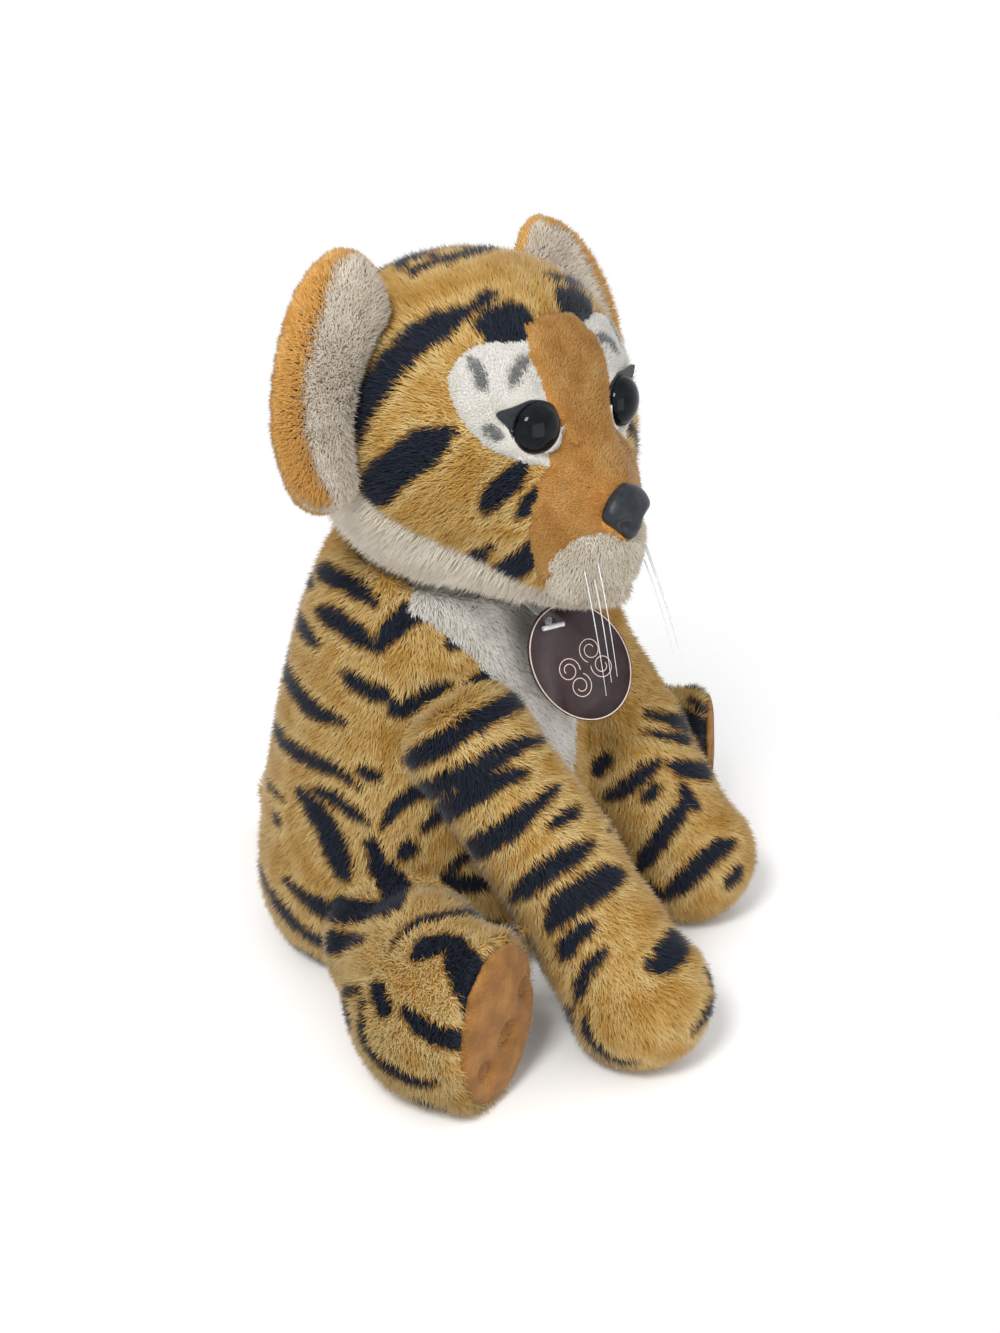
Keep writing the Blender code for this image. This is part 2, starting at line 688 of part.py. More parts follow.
def head_shape():
    shape = bmesh.new()
    bmesh.ops.create_uvsphere(shape, u_segments=HEAD_SIDES, v_segments=HEAD_BANDS, radius=1)
    phase = Matrix.Rotation(math.tau / HEAD_SIDES / 4, 3, "Z")
    for vert in shape.verts:
        vert.co = head_point(phase @ vert.co)
    bmesh.ops.triangulate(shape, faces=shape.faces)
    return shape


def face_point(across, rise, inset=0.0):
    """The point of the face straight behind a place seen from the front."""
    low, high = 0.0, HEAD_HALF_WIDTH + MUZZLE_HEIGHT
    for _ in range(40):
        middle = (low + high) / 2
        place = Vector((across, -middle, rise))
        if place.length < head_radius(place.normalized()) - inset:
            low = middle
        else:
            high = middle
    return Vector((across, -low, rise))


def face_outline(shares, side):
    """A closed outline from shares of the head's half sizes, on one side of the face."""
    return [(side * x * HEAD_HALF_WIDTH, z * HEAD_CROWN) for x, z in shares]


def bridge_outline():
    right = face_outline(BRIDGE_SHARES, -1)
    left = face_outline(BRIDGE_SHARES, 1)
    return right + left[-2:0:-1]


def panel_outlines():
    """Name, outline and the panels that lie over it, in the order in which they are cut."""
    pads = [
        (f"muzzle_pad_{letter}", oval(side * (PAD_HALF_WIDTH + SEAM / 2), -PAD_DROP, PAD_HALF_WIDTH, PAD_HALF_HEIGHT))
        for letter, side in (("R", -1), ("L", 1))
    ]
    chin = ("chin_panel", oval(0.0, -CHIN_DROP, CHIN_HALF_WIDTH, CHIN_HALF_HEIGHT))
    bridge = ("bridge_panel", bridge_outline())
    patches = [
        (f"eye_patch_{letter}", rounded(face_outline(PATCH_SHARES, side), 2))
        for letter, side in (("R", -1), ("L", 1))
    ]
    return pads + [chin, bridge] + patches


def head_frame(origin, ahead):
    """Axes at a point of the face: X across, Y up, Z out of the face."""
    out = ahead.normalized()
    across = Vector((0, 0, 1)).cross(out).normalized()
    up = out.cross(across)
    return ring(origin, across, up, 1.0, 1.0)


def eye_frame(side):
    ahead = Vector((
        side * math.sin(EYE_TURN) * math.cos(EYE_TILT),
        -math.cos(EYE_TURN) * math.cos(EYE_TILT),
        math.sin(EYE_TILT),
    ))
    return head_frame(face_point(side * EYE_OUT, EYE_UP), ahead)


def nose_frame():
    return head_frame(face_point(0.0, -NOSE_DROP), Vector((0, -1, 0)))


def seat_cutters(name, frame, outline, sink, parent):
    """Cutters of a stemmed piece's seat: a recess of its outline, the stem's hole and the washer's room."""
    hole = STEM_RADIUS + SEAM
    room = WASHER_RADIUS + SEAM
    back = sink + STEM_LENGTH + SEAM
    front = PLUSH + 2 * SEAM
    stem = turned((
        (0, -back), (room, -back), (room, -front), (hole, -front), (hole, OVERRUN / 2), (0, OVERRUN / 2),
    ))
    bmesh.ops.transform(stem, matrix=frame, verts=stem.verts)
    recess = prism(grown(outline, SEAM), frame @ Matrix.Translation((0, 0, -sink)), OVERRUN / 2)
    return [cutter(name + "_stem_room", stem, parent), cutter(name + "_recess", recess, parent)]


def washer(name, frame, material, parent):
    """A press-on washer behind the skin, on the stem of an eye or the nose."""
    start = -(PLUSH + 3 * SEAM)
    shape = bmesh.new()
    hole = STEM_RADIUS + SEAM / 2
    profile = (
        (hole, start), (WASHER_RADIUS, start), (WASHER_RADIUS, start - WASHER_THICK), (hole, start - WASHER_THICK),
    )
    verts = [shape.verts.new((radius, 0, height)) for radius, height in profile]
    edges = [shape.edges.new((verts[index - 1], verts[index])) for index in range(len(verts))]
    bmesh.ops.spin(
        shape, geom=verts + edges, cent=(0, 0, 0), axis=(0, 0, 1), angle=math.tau, steps=ROUND_SIDES, use_merge=True,
    )
    bmesh.ops.transform(shape, matrix=frame, verts=shape.verts)
    return solid(name, shape, material, parent)


def eye(letter, side, materials, parent):
    """A glossy dome on a stem, through the liner and the skin."""
    frame = eye_frame(side)
    base = -EYE_SINK + 2 * SEAM + LINER_THICK
    dome = [
        (EYE_RADIUS * math.cos(math.radians(angle)), base + EYE_DOME * math.sin(math.radians(angle)))
        for angle in (0, 15, 30, 45, 60, 75)
    ]
    profile = [(0, base + EYE_DOME)] + dome[::-1] + [
        (STEM_RADIUS, base), (STEM_RADIUS, -EYE_SINK - STEM_LENGTH), (0, -EYE_SINK - STEM_LENGTH),
    ]
    shape = turned(profile)
    bmesh.ops.transform(shape, matrix=frame, verts=shape.verts)
    solid(f"eye_{letter}", shape, materials["eye"], parent)
    mirrored = [(side * x * EYE_RADIUS, y * EYE_RADIUS) for x, y in LINER_SHARES]
    liner = prism(mirrored, frame @ Matrix.Translation((0, 0, SEAM - EYE_SINK)), LINER_THICK)
    liner_item = solid(f"eye_liner_{letter}", liner, materials["liner"], parent)
    stem_hole = turned((
        (0, -OVERRUN), (STEM_RADIUS + SEAM, -OVERRUN), (STEM_RADIUS + SEAM, OVERRUN), (0, OVERRUN),
    ))
    bmesh.ops.transform(stem_hole, matrix=frame, verts=stem_hole.verts)
    cut(liner_item, cutter(f"eye_hole_{letter}", stem_hole, parent))
    washer(f"eye_washer_{letter}", frame, materials["washer"], parent)
    return seat_cutters(f"eye_{letter}", frame, mirrored, EYE_SINK, parent)


def nose(materials, parent):
    """A moulded nose: broad above, narrow below, with two nostrils, on a stem."""
    frame = nose_frame()
    sink = EYE_SINK
    base = SEAM - sink
    shape = bmesh.new()
    bmesh.ops.create_uvsphere(shape, u_segments=ROUND_SIDES, v_segments=10, radius=1)
    for vert in shape.verts:
        x, y, z = vert.co
        narrow = 0.80 + 0.20 * smooth_step(y, -0.9, 0.3)
        flat = max(z, 0.0)
        vert.co = (x * NOSE_HALF_WIDTH * narrow, y * NOSE_HALF_HEIGHT, base + flat * NOSE_DEPTH)
    bmesh.ops.dissolve_degenerate(shape, dist=SEAM / 10, edges=shape.edges)
    bottom = [vert for vert in shape.verts if vert.co.z <= base + SEAM / 100]
    bmesh.ops.remove_doubles(shape, verts=bottom, dist=SEAM / 10)
    bmesh.ops.transform(shape, matrix=frame, verts=shape.verts)
    item = solid("nose", shape, materials["nose"], parent)
    stem = turned((
        (0, -sink - STEM_LENGTH), (STEM_RADIUS, -sink - STEM_LENGTH), (STEM_RADIUS, base + SEAM), (0, base + SEAM),
    ))
    bmesh.ops.transform(stem, matrix=frame, verts=stem.verts)
    combine(item, "UNION", [cutter("nose_stem", stem, parent)])
    for letter, side in (("R", -1), ("L", 1)):
        nostril = ball(NOSTRIL_RADIUS, SMALL_SIDES)
        place = Vector((side * NOSE_HALF_WIDTH * 0.42, -NOSE_HALF_HEIGHT * 0.28, base + NOSE_DEPTH * 0.92))
        bmesh.ops.translate(nostril, vec=place, verts=nostril.verts)
        bmesh.ops.transform(nostril, matrix=frame, verts=nostril.verts)
        cut(item, cutter(f"nostril_{letter}", nostril, parent))
    washer("nose_washer", frame, materials["washer"], parent)
    outline = oval(0.0, 0.0, NOSE_HALF_WIDTH, NOSE_HALF_HEIGHT)
    return seat_cutters("nose", frame, outline, sink, parent)


def whisker_line(side, shares):
    """Root on the muzzle pad, direction and length of a whisker."""
    across, rise, length = shares
    root = face_point(side * PAD_HALF_WIDTH * (1 + across), PAD_HALF_HEIGHT * rise - PAD_DROP)
    ahead = Vector((side * 0.12, -0.45, -0.85)).normalized()
    return root, ahead, WHISKER_LENGTH * length


def whisker_hole(name, side, shares, parent):
    """The prick in the muzzle pad through which a whisker is pulled."""
    root, ahead, _ = whisker_line(side, shares)
    reach = 2 * PLUSH
    radius = (WHISKER_RADIUS + SEAM) / math.cos(math.pi / SMALL_SIDES)
    shape = turned(((0, -reach), (radius, -reach), (radius, reach), (0, reach)), SMALL_SIDES)
    bmesh.ops.transform(shape, matrix=head_frame(root, ahead), verts=shape.verts)
    return cutter(name + "_prick", shape, parent)


def whisker(name, side, shares, material, parent):
    """A stiff nylon bristle rooted in a muzzle pad, bending down under its own weight."""
    root, ahead, length = whisker_line(side, shares)
    root -= ahead * WHISKER_SINK
    curve = bpy.data.curves.new(name, "CURVE")
    curve.dimensions = "3D"
    curve.bevel_depth = WHISKER_RADIUS
    curve.bevel_resolution = 1
    curve.use_fill_caps = True
    steps = 5
    spline = curve.splines.new("POLY")
    spline.points.add(steps)
    for index in range(steps + 1):
        share = index / steps
        place = root + ahead * length * share - Vector((0, 0, WHISKER_SAG * share * share))
        spline.points[index].co = (*place, 1)
    curve.materials.append(material)
    item = bpy.data.objects.new(name, curve)
    bpy.context.collection.objects.link(item)
    item.parent = parent
    return item


def ruff_box(gap, low_x, high_x):
    """Everything under the ruff's sloping edge, in front of its end, between two sides of the head."""
    reach = HEAD_HALF_WIDTH + OVERRUN
    shape = box((low_x, -2 * reach, -2 * reach), (high_x, RUFF_END - gap, -gap))
    tilt = Matrix.Translation((0, 0, -RUFF_DROP)) @ Matrix.Rotation(RUFF_RISE, 4, "X")
    bmesh.ops.transform(shape, matrix=tilt, verts=shape.verts)
    return shape


def ear(letter, side, materials, head):
    """A cupped ear on its own hinge line along the base."""
    rise = EAR_BASE_UP - (LEFT_EAR_DROP if side > 0 else 0)
    base = Vector((side * EAR_BASE_OUT, EAR_BASE_BACK, rise))
    along = Vector((-side * 0.210, -0.114, 0.971)).normalized() * -side
    outward = Vector((side * 0.86, 0.43, 0.27)) if side < 0 else Vector((side * 0.92, 0.16, 0.30))
    outward = (outward - along * outward.dot(along)).normalized()
    facing = along.cross(outward)
    turn = Matrix((along, outward, facing)).transposed()
    joint = pivot(f"ear_{letter}_joint", base, turn, head)

    def bowl(shrink, lift):
        shape = bmesh.new()
        bmesh.ops.create_circle(shape, cap_ends=True, cap_tris=False, segments=24, radius=1)
        for step in (0.30, 0.26, 0.22):
            bmesh.ops.inset_region(shape, faces=[face for face in shape.faces if len(face.verts) > 4], thickness=step)
        for vert in shape.verts:
            x, y = vert.co.x, vert.co.y
            curl = EAR_CUP * (max(y + 0.4, 0) ** 2 * 0.5 + x * x * 0.3)
            across = EAR_OFFSET + y * (EAR_HALF_WIDTH - shrink)
            vert.co = (x * (EAR_HALF_HEIGHT - shrink), across, curl + lift)
        bmesh.ops.triangulate(shape, faces=shape.faces)
        return shape

    seat = shrunk(head_shape(), -EAR_GAP)
    into_ear = (Matrix.Translation(base) @ turn.to_4x4()).inverted()
    bmesh.ops.transform(seat, matrix=into_ear, verts=seat.verts)
    hollow = cutter(f"ear_seat_{letter}", seat, joint)
    shell = wall(solid(f"ear_back_{letter}", bowl(0.0, 0.0), materials["short_gold"], joint), EAR_BACK_THICK, -1)
    cut(shell, hollow)
    lining = solid(f"ear_lining_{letter}", bowl(EAR_RIM, 1.5 * SEAM), materials["lining"], joint)
    cut(wall(lining, EAR_LINING_THICK, 1), hollow)
    return joint


def build_head(materials):
    head = pivot("head_joint", HEAD_CENTRE, head_turn())
    seats = eye("R", -1, materials, head) + eye("L", 1, materials, head) + nose(materials, head)
    hole = cutter("neck_hole", turned((
        (0, -HEAD_UNDER - OVERRUN), (NECK_HOLE_RADIUS, -HEAD_UNDER - OVERRUN),
        (NECK_HOLE_RADIUS, -HEAD_UNDER / 2), (0, -HEAD_UNDER / 2),
    )), head)
    reach = HEAD_HALF_WIDTH + OVERRUN
    deep = frontal(-NECK_HOLE_RADIUS / 2)
    deeper = frontal(-NECK_HOLE_RADIUS / 2 - SEAM)
    finishes = {
        "muzzle_pad_R": "cream", "muzzle_pad_L": "cream", "chin_panel": "cream", "bridge_panel": "short_gold",
        "eye_patch_R": "white", "eye_patch_L": "white",
    }
    over = []
    for name, outline in panel_outlines():
        form = cutter(name + "_form", prism(grown(outline, -SEAM), deeper, reach), head)
        item = wall(solid(name, head_shape(), materials[finishes[name]], head), PLUSH)
        keep(item, form)
        cut(item, *over, *seats, hole)
        if name.startswith("muzzle_pad"):
            side = -1 if name.endswith("R") else 1
            for index, shares in enumerate(WHISKER_SHARES):
                cut(item, whisker_hole(f"{name}_{index}", side, shares, head))
        over.append(cutter(name + "_hole", prism(outline, deep, reach), head))
    for letter, low, high in (("R", -reach, -SEAM / 2), ("L", SEAM / 2, reach)):
        item = wall(solid(f"ruff_{letter}", head_shape(), materials["ruff"], head), PLUSH)
        keep(item, cutter(f"ruff_form_{letter}", ruff_box(SEAM, low, high), head))
        cut(item, *over, hole)
    over.append(cutter("ruff_hole", ruff_box(0.0, -reach, reach), head))
    skin = wall(solid("head_skin", head_shape(), materials["plush"], head), PLUSH)
    cut(skin, *over, *seats, hole)
    core = solid("head_stuffing", shrunk(head_shape(), INSET), materials["stuffing"], head)
    cut(core, *seats)
    for letter, side in (("R", -1), ("L", 1)):
        for index, shares in enumerate(WHISKER_SHARES):
            whisker(f"whisker_{letter}_{index + 1}", side, shares, materials["nylon"], head)
        ear(letter, side, materials, head)
    return head


def neck_plug(materials):
    """A lens of stuffing in the torso's neck hole, hollowed to the head's ball."""
    joint = pivot("neck_joint", HEAD_CENTRE)
    top = NECK_DISH
    bottom = top + NECK_PLUG_THICK
    half_angle = math.asin(NECK_PLUG_RADIUS / top)
    steps = 3
    turns = [half_angle * index / steps for index in range(steps + 1)]
    profile = [(top * math.sin(turn), -top * math.cos(turn)) for turn in turns]
    profile += [(bottom * math.sin(turn), -bottom * math.cos(turn)) for turn in reversed(turns)]
    return solid("neck_stuffing", turned(profile, TORSO_SIDES), materials["stuffing"], joint)


def neck_cutters(body):
    """The dish for the head and the hole for the neck's stuffing."""
    dish = ball(NECK_DISH / math.cos(math.pi / DISH_SIDES) ** 2, DISH_SIDES)
    bmesh.ops.translate(dish, vec=HEAD_CENTRE, verts=dish.verts)
    below = NECK_DISH + NECK_PLUG_THICK + RUB
    half_angle = math.asin(NECK_PLUG_RADIUS / NECK_DISH) + math.asin(RUB / NECK_DISH)
    turns = [half_angle * index / 3 for index in range(4)]
    profile = [(below * math.sin(turn), -below * math.cos(turn)) for turn in turns]
    profile += [(NECK_PLUG_RADIUS / 2, -NECK_DISH / 2), (0, -NECK_DISH / 2)]
    plug = turned(profile, TORSO_SIDES)
    bmesh.ops.translate(plug, vec=HEAD_CENTRE, verts=plug.verts)
    return [cutter("head_dish", dish, body), cutter("plug_room", plug, body)]


def build_tag(materials, body):
    """An oval card hung on a nylon fastener from the chest."""
    half_width, half_depth, back = torso_section(TAG_UP)
    chest = back - half_depth * math.sqrt(1 - (TAG_OUT / half_width) ** 2)
    chest_point = Vector((-TAG_OUT, chest, TAG_UP))
    out = Vector((math.sin(TAG_TURN), -math.cos(TAG_TURN), 0))
    hole = chest_point + out * TAG_STAND
    frame = head_frame(Vector(), out) @ Matrix.Rotation(-TAG_TIP, 4, "X") @ Matrix.Rotation(TAG_LEAN, 4, "Z")
    joint = pivot("tag_joint", hole, parent=body)
    middle = TAG_HALF_LENGTH - TAG_HOLE_EDGE
    card = prism(oval(0.0, -middle, TAG_HALF_WIDTH, TAG_HALF_LENGTH, 28), frame @ Matrix.Translation((0, 0, -TAG_THICK / 2)), TAG_THICK)
    item = solid("hang_tag", card, materials["card"], joint)
    punch = turned(((0, -TAG_STAND), (TAG_HOLE_RADIUS, -TAG_STAND), (TAG_HOLE_RADIUS, TAG_STAND), (0, TAG_STAND)), 16)
    bmesh.ops.transform(punch, matrix=frame, verts=punch.verts)
    cut(item, cutter("tag_punch", punch, joint))
    front = 3 * TIE_RADIUS + TAG_HOLE_RADIUS
    root = -TAG_STAND - PLUSH / 2
    stem = turned(((0, root), (TIE_RADIUS, root), (TIE_RADIUS, front), (0, front)), 10)
    bmesh.ops.transform(stem, matrix=Matrix.Translation(hole) @ head_frame(Vector(), out), verts=stem.verts)
    tie = solid("tag_tie", stem, materials["nylon"], body)
    bar = turned(((0, -TIE_BAR), (TIE_RADIUS * 1.2, -TIE_BAR), (TIE_RADIUS * 1.2, TIE_BAR), (0, TIE_BAR)), 10)
    lay = head_frame(Vector((0, 0, 0)), out) @ Matrix.Translation((0, 0, front)) @ Matrix.Rotation(math.pi / 2, 4, "Y")
    bmesh.ops.transform(bar, matrix=Matrix.Translation(hole) @ lay, verts=bar.verts)
    combine(tie, "UNION", [cutter("tag_bar", bar, body)])
    prick = turned((
        (0, -TAG_STAND - OVERRUN / 2), (TIE_RADIUS + SEAM, -TAG_STAND - OVERRUN / 2),
        (TIE_RADIUS + SEAM, -TAG_STAND / 2), (0, -TAG_STAND / 2),
    ), 10)
    bmesh.ops.transform(prick, matrix=Matrix.Translation(hole) @ head_frame(Vector(), out), verts=prick.verts)
    return cutter("tag_prick", prick, body)


def build_torso(materials):
    body = pivot("torso")
    cuts = torso_cutters(body)
    limbs = [
        foreleg(-1, NEAR_PAW_FORWARD, NEAR_PAW_OUT, materials, body),
        foreleg(1, FAR_PAW_FORWARD, FAR_PAW_OUT, materials, body),
        leg(
            -1, NEAR_SHANK_OUT, NEAR_FOOT_OUT, NEAR_FOOT_FORWARD, NEAR_FOOT_UP, NEAR_FOOT_HALF_HEIGHT, materials, body,
        ),
        leg(1, FAR_SHANK_OUT, FAR_FOOT_OUT, FAR_FOOT_FORWARD, FAR_FOOT_UP, FAR_FOOT_HALF_HEIGHT, materials, body),
        tail(materials, body),
    ]
    pockets = [made["pocket"] for made in limbs] + neck_cutters(body) + [build_tag(materials, body)]
    panels = (
        ("back_skin", "plush", ["back"], ["seat"]),
        ("flank_skin_R", "plush", ["right"], ["seat", "bib"]),
        ("flank_skin_L", "plush", ["left"], ["seat", "bib"]),
        ("chest_panel", "cream", ["bib_tight"], []),
        ("seat_panel", "plush", ["seat_tight"], []),
    )
    for name, finish, kept, removed in panels:
        item = wall(solid(name, torso_shape(), materials[finish], body), PLUSH)
        keep(item, *[cuts[key] for key in kept])
        cut(item, *[cuts[key] for key in removed], *pockets)
    core = solid("body_stuffing", shrunk(torso_shape(), INSET), materials["stuffing"], body)
    cut(core, *pockets)
    return body


def make_materials():
    return {
        "plush": finish_material("golden_plush", (0.78, 0.62, 0.35), 0.95),
        "short_gold": finish_material("short_gold_pile", (0.74, 0.49, 0.22), 0.9),
        "cream": finish_material("cream_pile", (0.66, 0.62, 0.54), 0.95),
        "white": finish_material("white_pile", (0.85, 0.83, 0.80), 0.9),
        "ruff": finish_material("ruff_pile", (0.79, 0.74, 0.66), 0.95),
        "lining": finish_material("grey_ear_pile", (0.65, 0.60, 0.54), 0.95),
        "suede": finish_material("brown_suede", (0.73, 0.54, 0.31), 0.85),
        "stuffing": finish_material("polyester_stuffing", (0.93, 0.93, 0.92), 0.95),
        "eye": finish_material("black_glass_plastic", (0.06, 0.08, 0.09), 0.08),
        "nose": finish_material("moulded_nose_plastic", (0.16, 0.18, 0.20), 0.35),
        "liner": finish_material("black_vinyl", (0.08, 0.09, 0.10), 0.55),
        "washer": finish_material("white_plastic", (0.90, 0.90, 0.88), 0.5),
        "nylon": finish_material("clear_nylon", (0.93, 0.93, 0.93), 0.3),
        "card": finish_material("printed_card", (0.23, 0.16, 0.17), 0.6),
    }


def main():
    clear_scene()
    materials = make_materials()
    build_torso(materials)
    neck_plug(materials)
    build_head(materials)


main()
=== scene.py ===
"""Plush tiger cub, dressed: sewn cloth puffed by its stuffing, a pile of cut fibres, and moulded fittings."""
import json
import math

import bmesh
import bpy
import numpy as np
from mathutils import Matrix, Vector
from mathutils.bvhtree import BVHTree
from mathutils.kdtree import KDTree


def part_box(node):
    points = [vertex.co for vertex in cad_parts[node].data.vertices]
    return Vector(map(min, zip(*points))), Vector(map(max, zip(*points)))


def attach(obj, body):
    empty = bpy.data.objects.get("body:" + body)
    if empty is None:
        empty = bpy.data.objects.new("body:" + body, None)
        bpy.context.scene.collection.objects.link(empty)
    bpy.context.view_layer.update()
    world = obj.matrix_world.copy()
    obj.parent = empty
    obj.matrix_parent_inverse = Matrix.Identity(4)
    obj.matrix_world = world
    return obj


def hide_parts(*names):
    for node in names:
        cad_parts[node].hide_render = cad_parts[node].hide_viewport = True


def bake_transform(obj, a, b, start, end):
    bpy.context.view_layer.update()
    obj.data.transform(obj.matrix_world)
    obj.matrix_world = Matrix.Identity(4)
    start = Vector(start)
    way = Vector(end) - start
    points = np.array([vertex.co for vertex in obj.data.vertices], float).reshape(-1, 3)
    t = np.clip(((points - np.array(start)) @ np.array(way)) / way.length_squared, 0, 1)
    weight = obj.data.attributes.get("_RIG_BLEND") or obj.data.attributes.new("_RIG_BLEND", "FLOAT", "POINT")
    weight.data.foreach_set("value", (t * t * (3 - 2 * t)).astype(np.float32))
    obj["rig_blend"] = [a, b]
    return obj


MM = 0.001

# The photograph's camera, found from the seat, the paws and the head
PHOTO_WIDTH = 1000
PHOTO_HEIGHT = 1333
AZIMUTH = math.radians(-66)
ELEVATION = math.radians(28)
DISTANCE = 800 * MM
TARGET = Vector((-24, -37, 110)) * MM
PIXELS_PER_MM = 3.4
SENSOR = 36.0

# The head's own axes
HEAD_CENTRE = Vector((0, -17, 176.5)) * MM
HEAD_TURN = math.radians(-17.5)
HEAD_TILT = math.radians(5)

# Cloth
BODY_VOXEL = 2.4 * MM
HEAD_VOXEL = 2.0 * MM
EAR_VOXEL = 1.3 * MM
EAR_PLUMPNESS = 1.4 * MM
EAR_LEANS = {"R": math.radians(15), "L": math.radians(21)}  # the ears lean back on their seats
EAR_PIVOT_UP = 5 * MM
EAR_SHIFTS = {"R": Vector((0, 0, 0.5)) * MM, "L": Vector((-2, 6, 1)) * MM}
EAR_HEIGHT_SHARE = 0.93
PUFF_CAP = 1.4 * MM
CLOTH_THICK = 0.6 * MM
CLOTH_ABOVE_FLOOR = 0.4 * MM
PILE_ABOVE_FLOOR = 0.1 * MM
SEAM_DEPTH = 0.9 * MM
SEAM_REACH = 2.2 * MM
STROKE_STEP = 0.8 * MM
STROKE_FULLNESS = 1.5  # the pile leans over a stripe's edge, so the stripe is dyed a little wider
STROKE_GAP = 14 * MM  # a longer gap between two points of a stroke is left open
STROKE_LEAST = 0.35  # share of a stroke's width at its ends
STROKE_TAPER = 2.6
LOCKS_IN_A_PIECE = 62000
STUFFING_PRESSURE = 4
PUFF_FRAMES = 20
SEAM_PILE_SHARE = 0.62  # the pile is shorter at a seam
SEAM_PILE_REACH = 3 * MM
BEND_SHARES = (0.12, 0.55)  # along a limb, where its cloth starts and ends bending out of the torso
CLOTH_GAP = 1.2 * MM  # cloth nearer to another piece than this carries no pile
FITTING_GAP = 0.9 * MM
HEAD_SEAM_DEPTH_SHARE = 0.6
HEAD_SEAM_REACH_SHARE = 0.7
EAR_SEAM_DEPTH = 0.4 * MM
EAR_PLUMP_REACH = 6 * MM
EAR_ROOT_SHARE = 0.7
SHARP_ANGLE = math.radians(35)
RAGGED = {"golden": 0.6, "white": 0.8, "lining": 1.0}  # how far a stripe's edge wanders, in mm
NEAR_MISS_FROM = 600 * MM
NEAR_MISS_STEP = 7 * MM
NEAR_MISS_STEPS = 60

# Soles, fills, the near hind foot and the fuller parts
SOLE_VOXEL = 1.2 * MM
SOLE_SHARE = 0.93  # of the CAD's sole, whose rim the pile hides
TOE_PIXELS = ((536, 994), (508, 1034), (482, 1072))
TOE_DENT_RADIUS = 4.2 * MM
TOE_DENT_DEPTH = 3.0 * MM
FILL_ROOM = 6.5 * MM  # so that no fill shows where a swung limb folds its cloth
THIN_FILL_ROOM = 3.0 * MM
FOOT_TURN = math.radians(15)  # the near hind foot points more to the front than its leg
FOOT_PIVOT = Vector((-83, -61, 28)) * MM
PAW_MIDDLES = (Vector((-43, -91, 20)) * MM, Vector((37, -76, 20)) * MM)
SEAT_FULLNESS = 2.8 * MM  # how much the stuffing fills the lower back
HEEL_MIDDLE = Vector((-92, -32, 14)) * MM
HEEL_FULLNESS = 5.0 * MM
HEEL_REACH = 26 * MM
SOLE_REACH = 8 * MM
PAW_REACHES = (24 * MM, 40 * MM)
SEAT_BEHIND = (5 * MM, 35 * MM)
SEAT_HEIGHTS = (12 * MM, 42 * MM)
FOOT_SHARES = (0.30, 0.90)

# Face, whiskers and tag
EYE_RADIUS = 7.5 * MM
EYE_DOME = 5.2 * MM
EYE_SUNK = 1.6 * MM
EYE_FLANGE = 0.4 * MM
EYE_RIM_SHARE = 0.96
EYE_STEPS = 64
STEM_RADIUS = 2.2 * MM
STEM_LENGTH = 14 * MM
WASHER_SHARE = 0.62
NAPE_BACK = 30  # mm behind the head's centre, where the ruffs end
EYE_YAW = 17
EYE_PITCH = 5
NOSE_STAND = 6.0 * MM
NOSE_HALF_WIDTH = 9.4 * MM
NOSE_HALF_HEIGHT = 8.2 * MM
LINER_THICK = 0.8 * MM
# The black sheet behind an eye, as shares of its radius: a point toward the nose, one up and outward
LINER_SHARES = (
    (-1.74, -1.32), (-1.30, -0.55), (-1.08, 0.10), (-0.78, 0.76), (0.0, 1.07), (0.78, 0.98), (1.62, 0.86),
    (1.16, 0.22), (0.98, -0.45), (0.62, -0.92), (0.0, -1.12), (-0.75, -1.18),
)
PLUG_RADIUS = 8.5 * MM
PLUG_DEPTH = 1.0 * MM
NORMAL_SHARE = 0.75  # how much a fibre's shading follows the cloth under it
PILE_NOTES = (
    "skin_up", "shade", "along", "across", "stripe", "tone", "pile", "cover", "grow", "lay", "panel", "seam",
)
SWELLS = (("nose", 0, 3.4), ("eye_R", -1, 0.9), ("eye_L", 1, 0.9))  # node, side and height in mm
SWELL_SPREAD = 10
CLIPPED_SHARES = (("eye_R", 0.45), ("eye_L", 0.45), ("nose", 0.75))
CLIPPED_REACH = (8, 13)  # mm from a fitting's middle, between which the pile grows to its full length
CREAM_FRONT = -30  # mm in the head's axes: the pads' cream lies before and below these
CREAM_TOP = -29.5
CREAM_HALF_WIDTH = 19
CHIN_TOP = -20
CHIN_HALF_WIDTH = 5
WHISKER_THICK = 0.16 * MM  # half the thickness of a nylon bristle at its root
TAG_TILT = math.radians(13)

# Studio
FLOOR_HALF_WIDTH = 1.2
FLOOR_FADE = (0.10, 0.26)
ROOM_LIGHT = 0.88
LAMPS = (("key", Vector((-0.9, -0.1, 1.1)), 0.32, 11.0), ("fill", Vector((-0.6, -1.1, 0.15)), 0.9, 4.5))

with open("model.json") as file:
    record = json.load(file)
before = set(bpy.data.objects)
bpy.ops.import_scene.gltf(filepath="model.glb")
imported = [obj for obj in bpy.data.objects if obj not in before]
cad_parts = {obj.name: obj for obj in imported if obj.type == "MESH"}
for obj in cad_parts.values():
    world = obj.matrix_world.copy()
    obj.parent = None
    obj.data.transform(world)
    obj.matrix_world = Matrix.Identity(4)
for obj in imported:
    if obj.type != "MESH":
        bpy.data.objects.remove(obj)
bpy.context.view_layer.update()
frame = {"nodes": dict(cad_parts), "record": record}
nodes = frame["nodes"]


# Shared helpers

def coordinates(mesh):
    places = np.empty(len(mesh.vertices) * 3, np.float64)
    mesh.vertices.foreach_get("co", places)
    return places.reshape(-1, 3)


def set_coordinates(mesh, places, lowest=-1.0):
    """Move a mesh's vertices, none of them lower than the floor allows."""
    places[:, 2] = np.maximum(places[:, 2], lowest)
    mesh.vertices.foreach_set("co", places.ravel())
    mesh.update()


